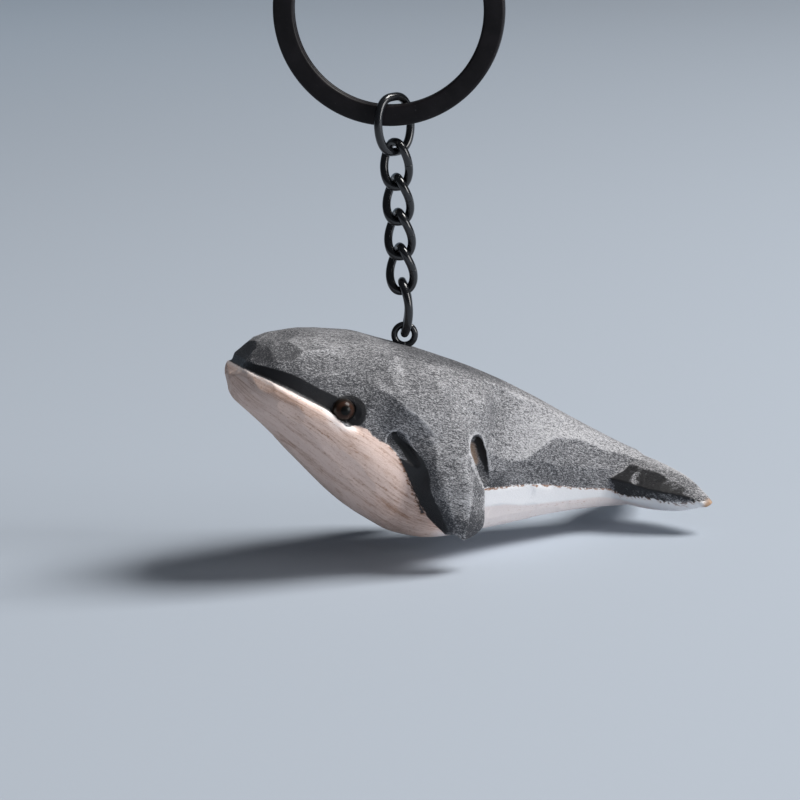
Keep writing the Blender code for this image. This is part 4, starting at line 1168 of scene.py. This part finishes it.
def stage():
    """A pale floor that curves up into the backdrop behind: straight, then a quarter round."""
    across = np.linspace(-2200, 2200, 60)[None, :]
    s = np.linspace(-1600, 2600, 200)[:, None]
    bend_start, bend_radius = 1100.0, 700.0
    bend = np.clip((s - bend_start) / bend_radius, 0, math.pi / 2)
    beyond = np.maximum(s - bend_start - bend_radius * math.pi / 2, 0)
    depth = np.minimum(s, bend_start) + bend_radius * np.sin(bend)
    rise = bend_radius * (1 - np.cos(bend)) + beyond
    points = np.stack([across + 0 * s, depth + 0 * across, FLOOR_HEIGHT + rise + 0 * across], axis=-1)
    rows, columns = points.shape[:2]
    corner = (np.arange(rows - 1)[:, None] * columns + np.arange(columns - 1)[None, :])
    quads = np.stack([corner, corner + 1, corner + columns + 1, corner + columns], axis=-1)
    mesh = lay_mesh("stage_floor", points.reshape(-1, 3), quads.reshape(-1, 4))
    piece = add_piece("stage_floor", mesh, backdrop_finish())


def backdrop_finish():
    """Pale blue-grey paper: painted shade makes it a little darker behind, and painted light a
    brighter stretch at the far left.
    """
    w = Wiring("pale_backdrop_paper")
    place = w.place()
    split = w.nodes.new("ShaderNodeSeparateXYZ")
    w.put(split.inputs[0], place)
    across, depth = split.outputs[0], split.outputs[1]
    # painted light: a brighter stretch at the far left, towards the back
    left = w.times(w.span(across, 100.0, 400.0, 1.0, 0.0), w.span(depth, 300.0, 820.0))
    backdrop = w.blend(left, BACKDROP_PAPER_PAINTED_SHADE, BACKDROP_PAINTED_LIGHT)
    # painted shade: darker with depth towards the back
    w.set(Base_Color=w.blend(w.span(depth, 0.0, 1500.0, smooth=False), FLOOR_PAPER, backdrop),
          Roughness=0.8, Specular_IOR_Level=0.2,
          Normal=w.bump(w.noise(place, 0.6, 3.0, 0.6), 0.0001, 0.1))
    return w.material


def hang(name, data, axes, place):
    """A camera or lamp with its right, up and backward axes, at a place in metres."""
    thing = bpy.data.objects.new(name, data)
    bpy.context.scene.collection.objects.link(thing)
    rows = [[*row, spot] for row, spot in zip(np.stack(axes, axis=1), place)]
    thing.matrix_world = Matrix(rows + [[0, 0, 0, 1]])
    return thing


def camera():
    """The photograph's viewing angle: 20 degrees round to the left, 12 up, 450 mm away."""
    right = np.array([0.93510, -0.35116, -0.04778])
    up = np.array([0.11693, 0.17843, 0.97698])
    forward = np.array([0.33455, 0.91916, -0.20791])
    data = bpy.data.cameras.new("camera")
    data.lens, data.sensor_width = 153.78, 36.0
    data.clip_start, data.clip_end = 0.02, 20.0
    place = (-0.15151, -0.41327, 0.02993)
    bpy.context.scene.camera = hang("camera", data, (right, up, -forward), place)


def lamp(name, direction, distance, size, power, colour=(1.0, 1.0, 1.0)):
    """A square soft box that faces the whale from a direction."""
    direction = unit(np.array(direction, float))
    data = bpy.data.lights.new(name, "AREA")
    data.shape, data.size, data.energy, data.color = "SQUARE", size * MM, power, colour
    across = unit(np.cross((0.0, 0.0, 1.0), direction))
    place = (np.array([0.0, 0.0, AIM_HEIGHT]) + direction * distance) * MM
    hang(name, data, (across, np.cross(direction, across), direction), place)


def light_up():
    """A soft key from the upper right, as the shadow shows, a low fill from the front right and a faint
    even sky."""
    lamp("key_soft_box", (0.533, -0.248, 0.809), 1300, 620, 24.0, (1.0, 0.985, 0.96))
    lamp("low_front_fill", (0.62, -0.75, 0.18), 1300, 620, 8.1)
    world = bpy.data.worlds.new("soft_studio_sky")
    world.use_nodes = True
    sky = world.node_tree.nodes["Background"]
    sky.inputs["Color"].default_value = (0.86, 0.93, 1.0, 1.0)
    sky.inputs["Strength"].default_value = 0.074
    bpy.context.scene.world = world
    bpy.context.scene.view_settings.view_transform = "Standard"


def main():
    """The stage, then each finish and the pieces that wear it."""
    stage()
    camera()
    light_up()
    wood = carved_wood_finish()
    ring_coat = black_coat_finish("satin_black_ring_coat", (0.006, 0.005, 0.006), 0.40, 0.22, 0.0, 0.25)
    chain_coat = black_coat_finish("gloss_black_chain_coat", (0.005, 0.0055, 0.007), 0.14, 0.4,
                                   0.5, 0.1)
    split_ring(ring_coat)
    for node in LINKS:
        chain_link(node, chain_coat)
    screw_eye(chain_coat)
    carved_whale(wood)
    glass = glass_eye_finish()
    bead_eye("left_eye", -1, glass)
    bead_eye("right_eye", 1, glass)


main()
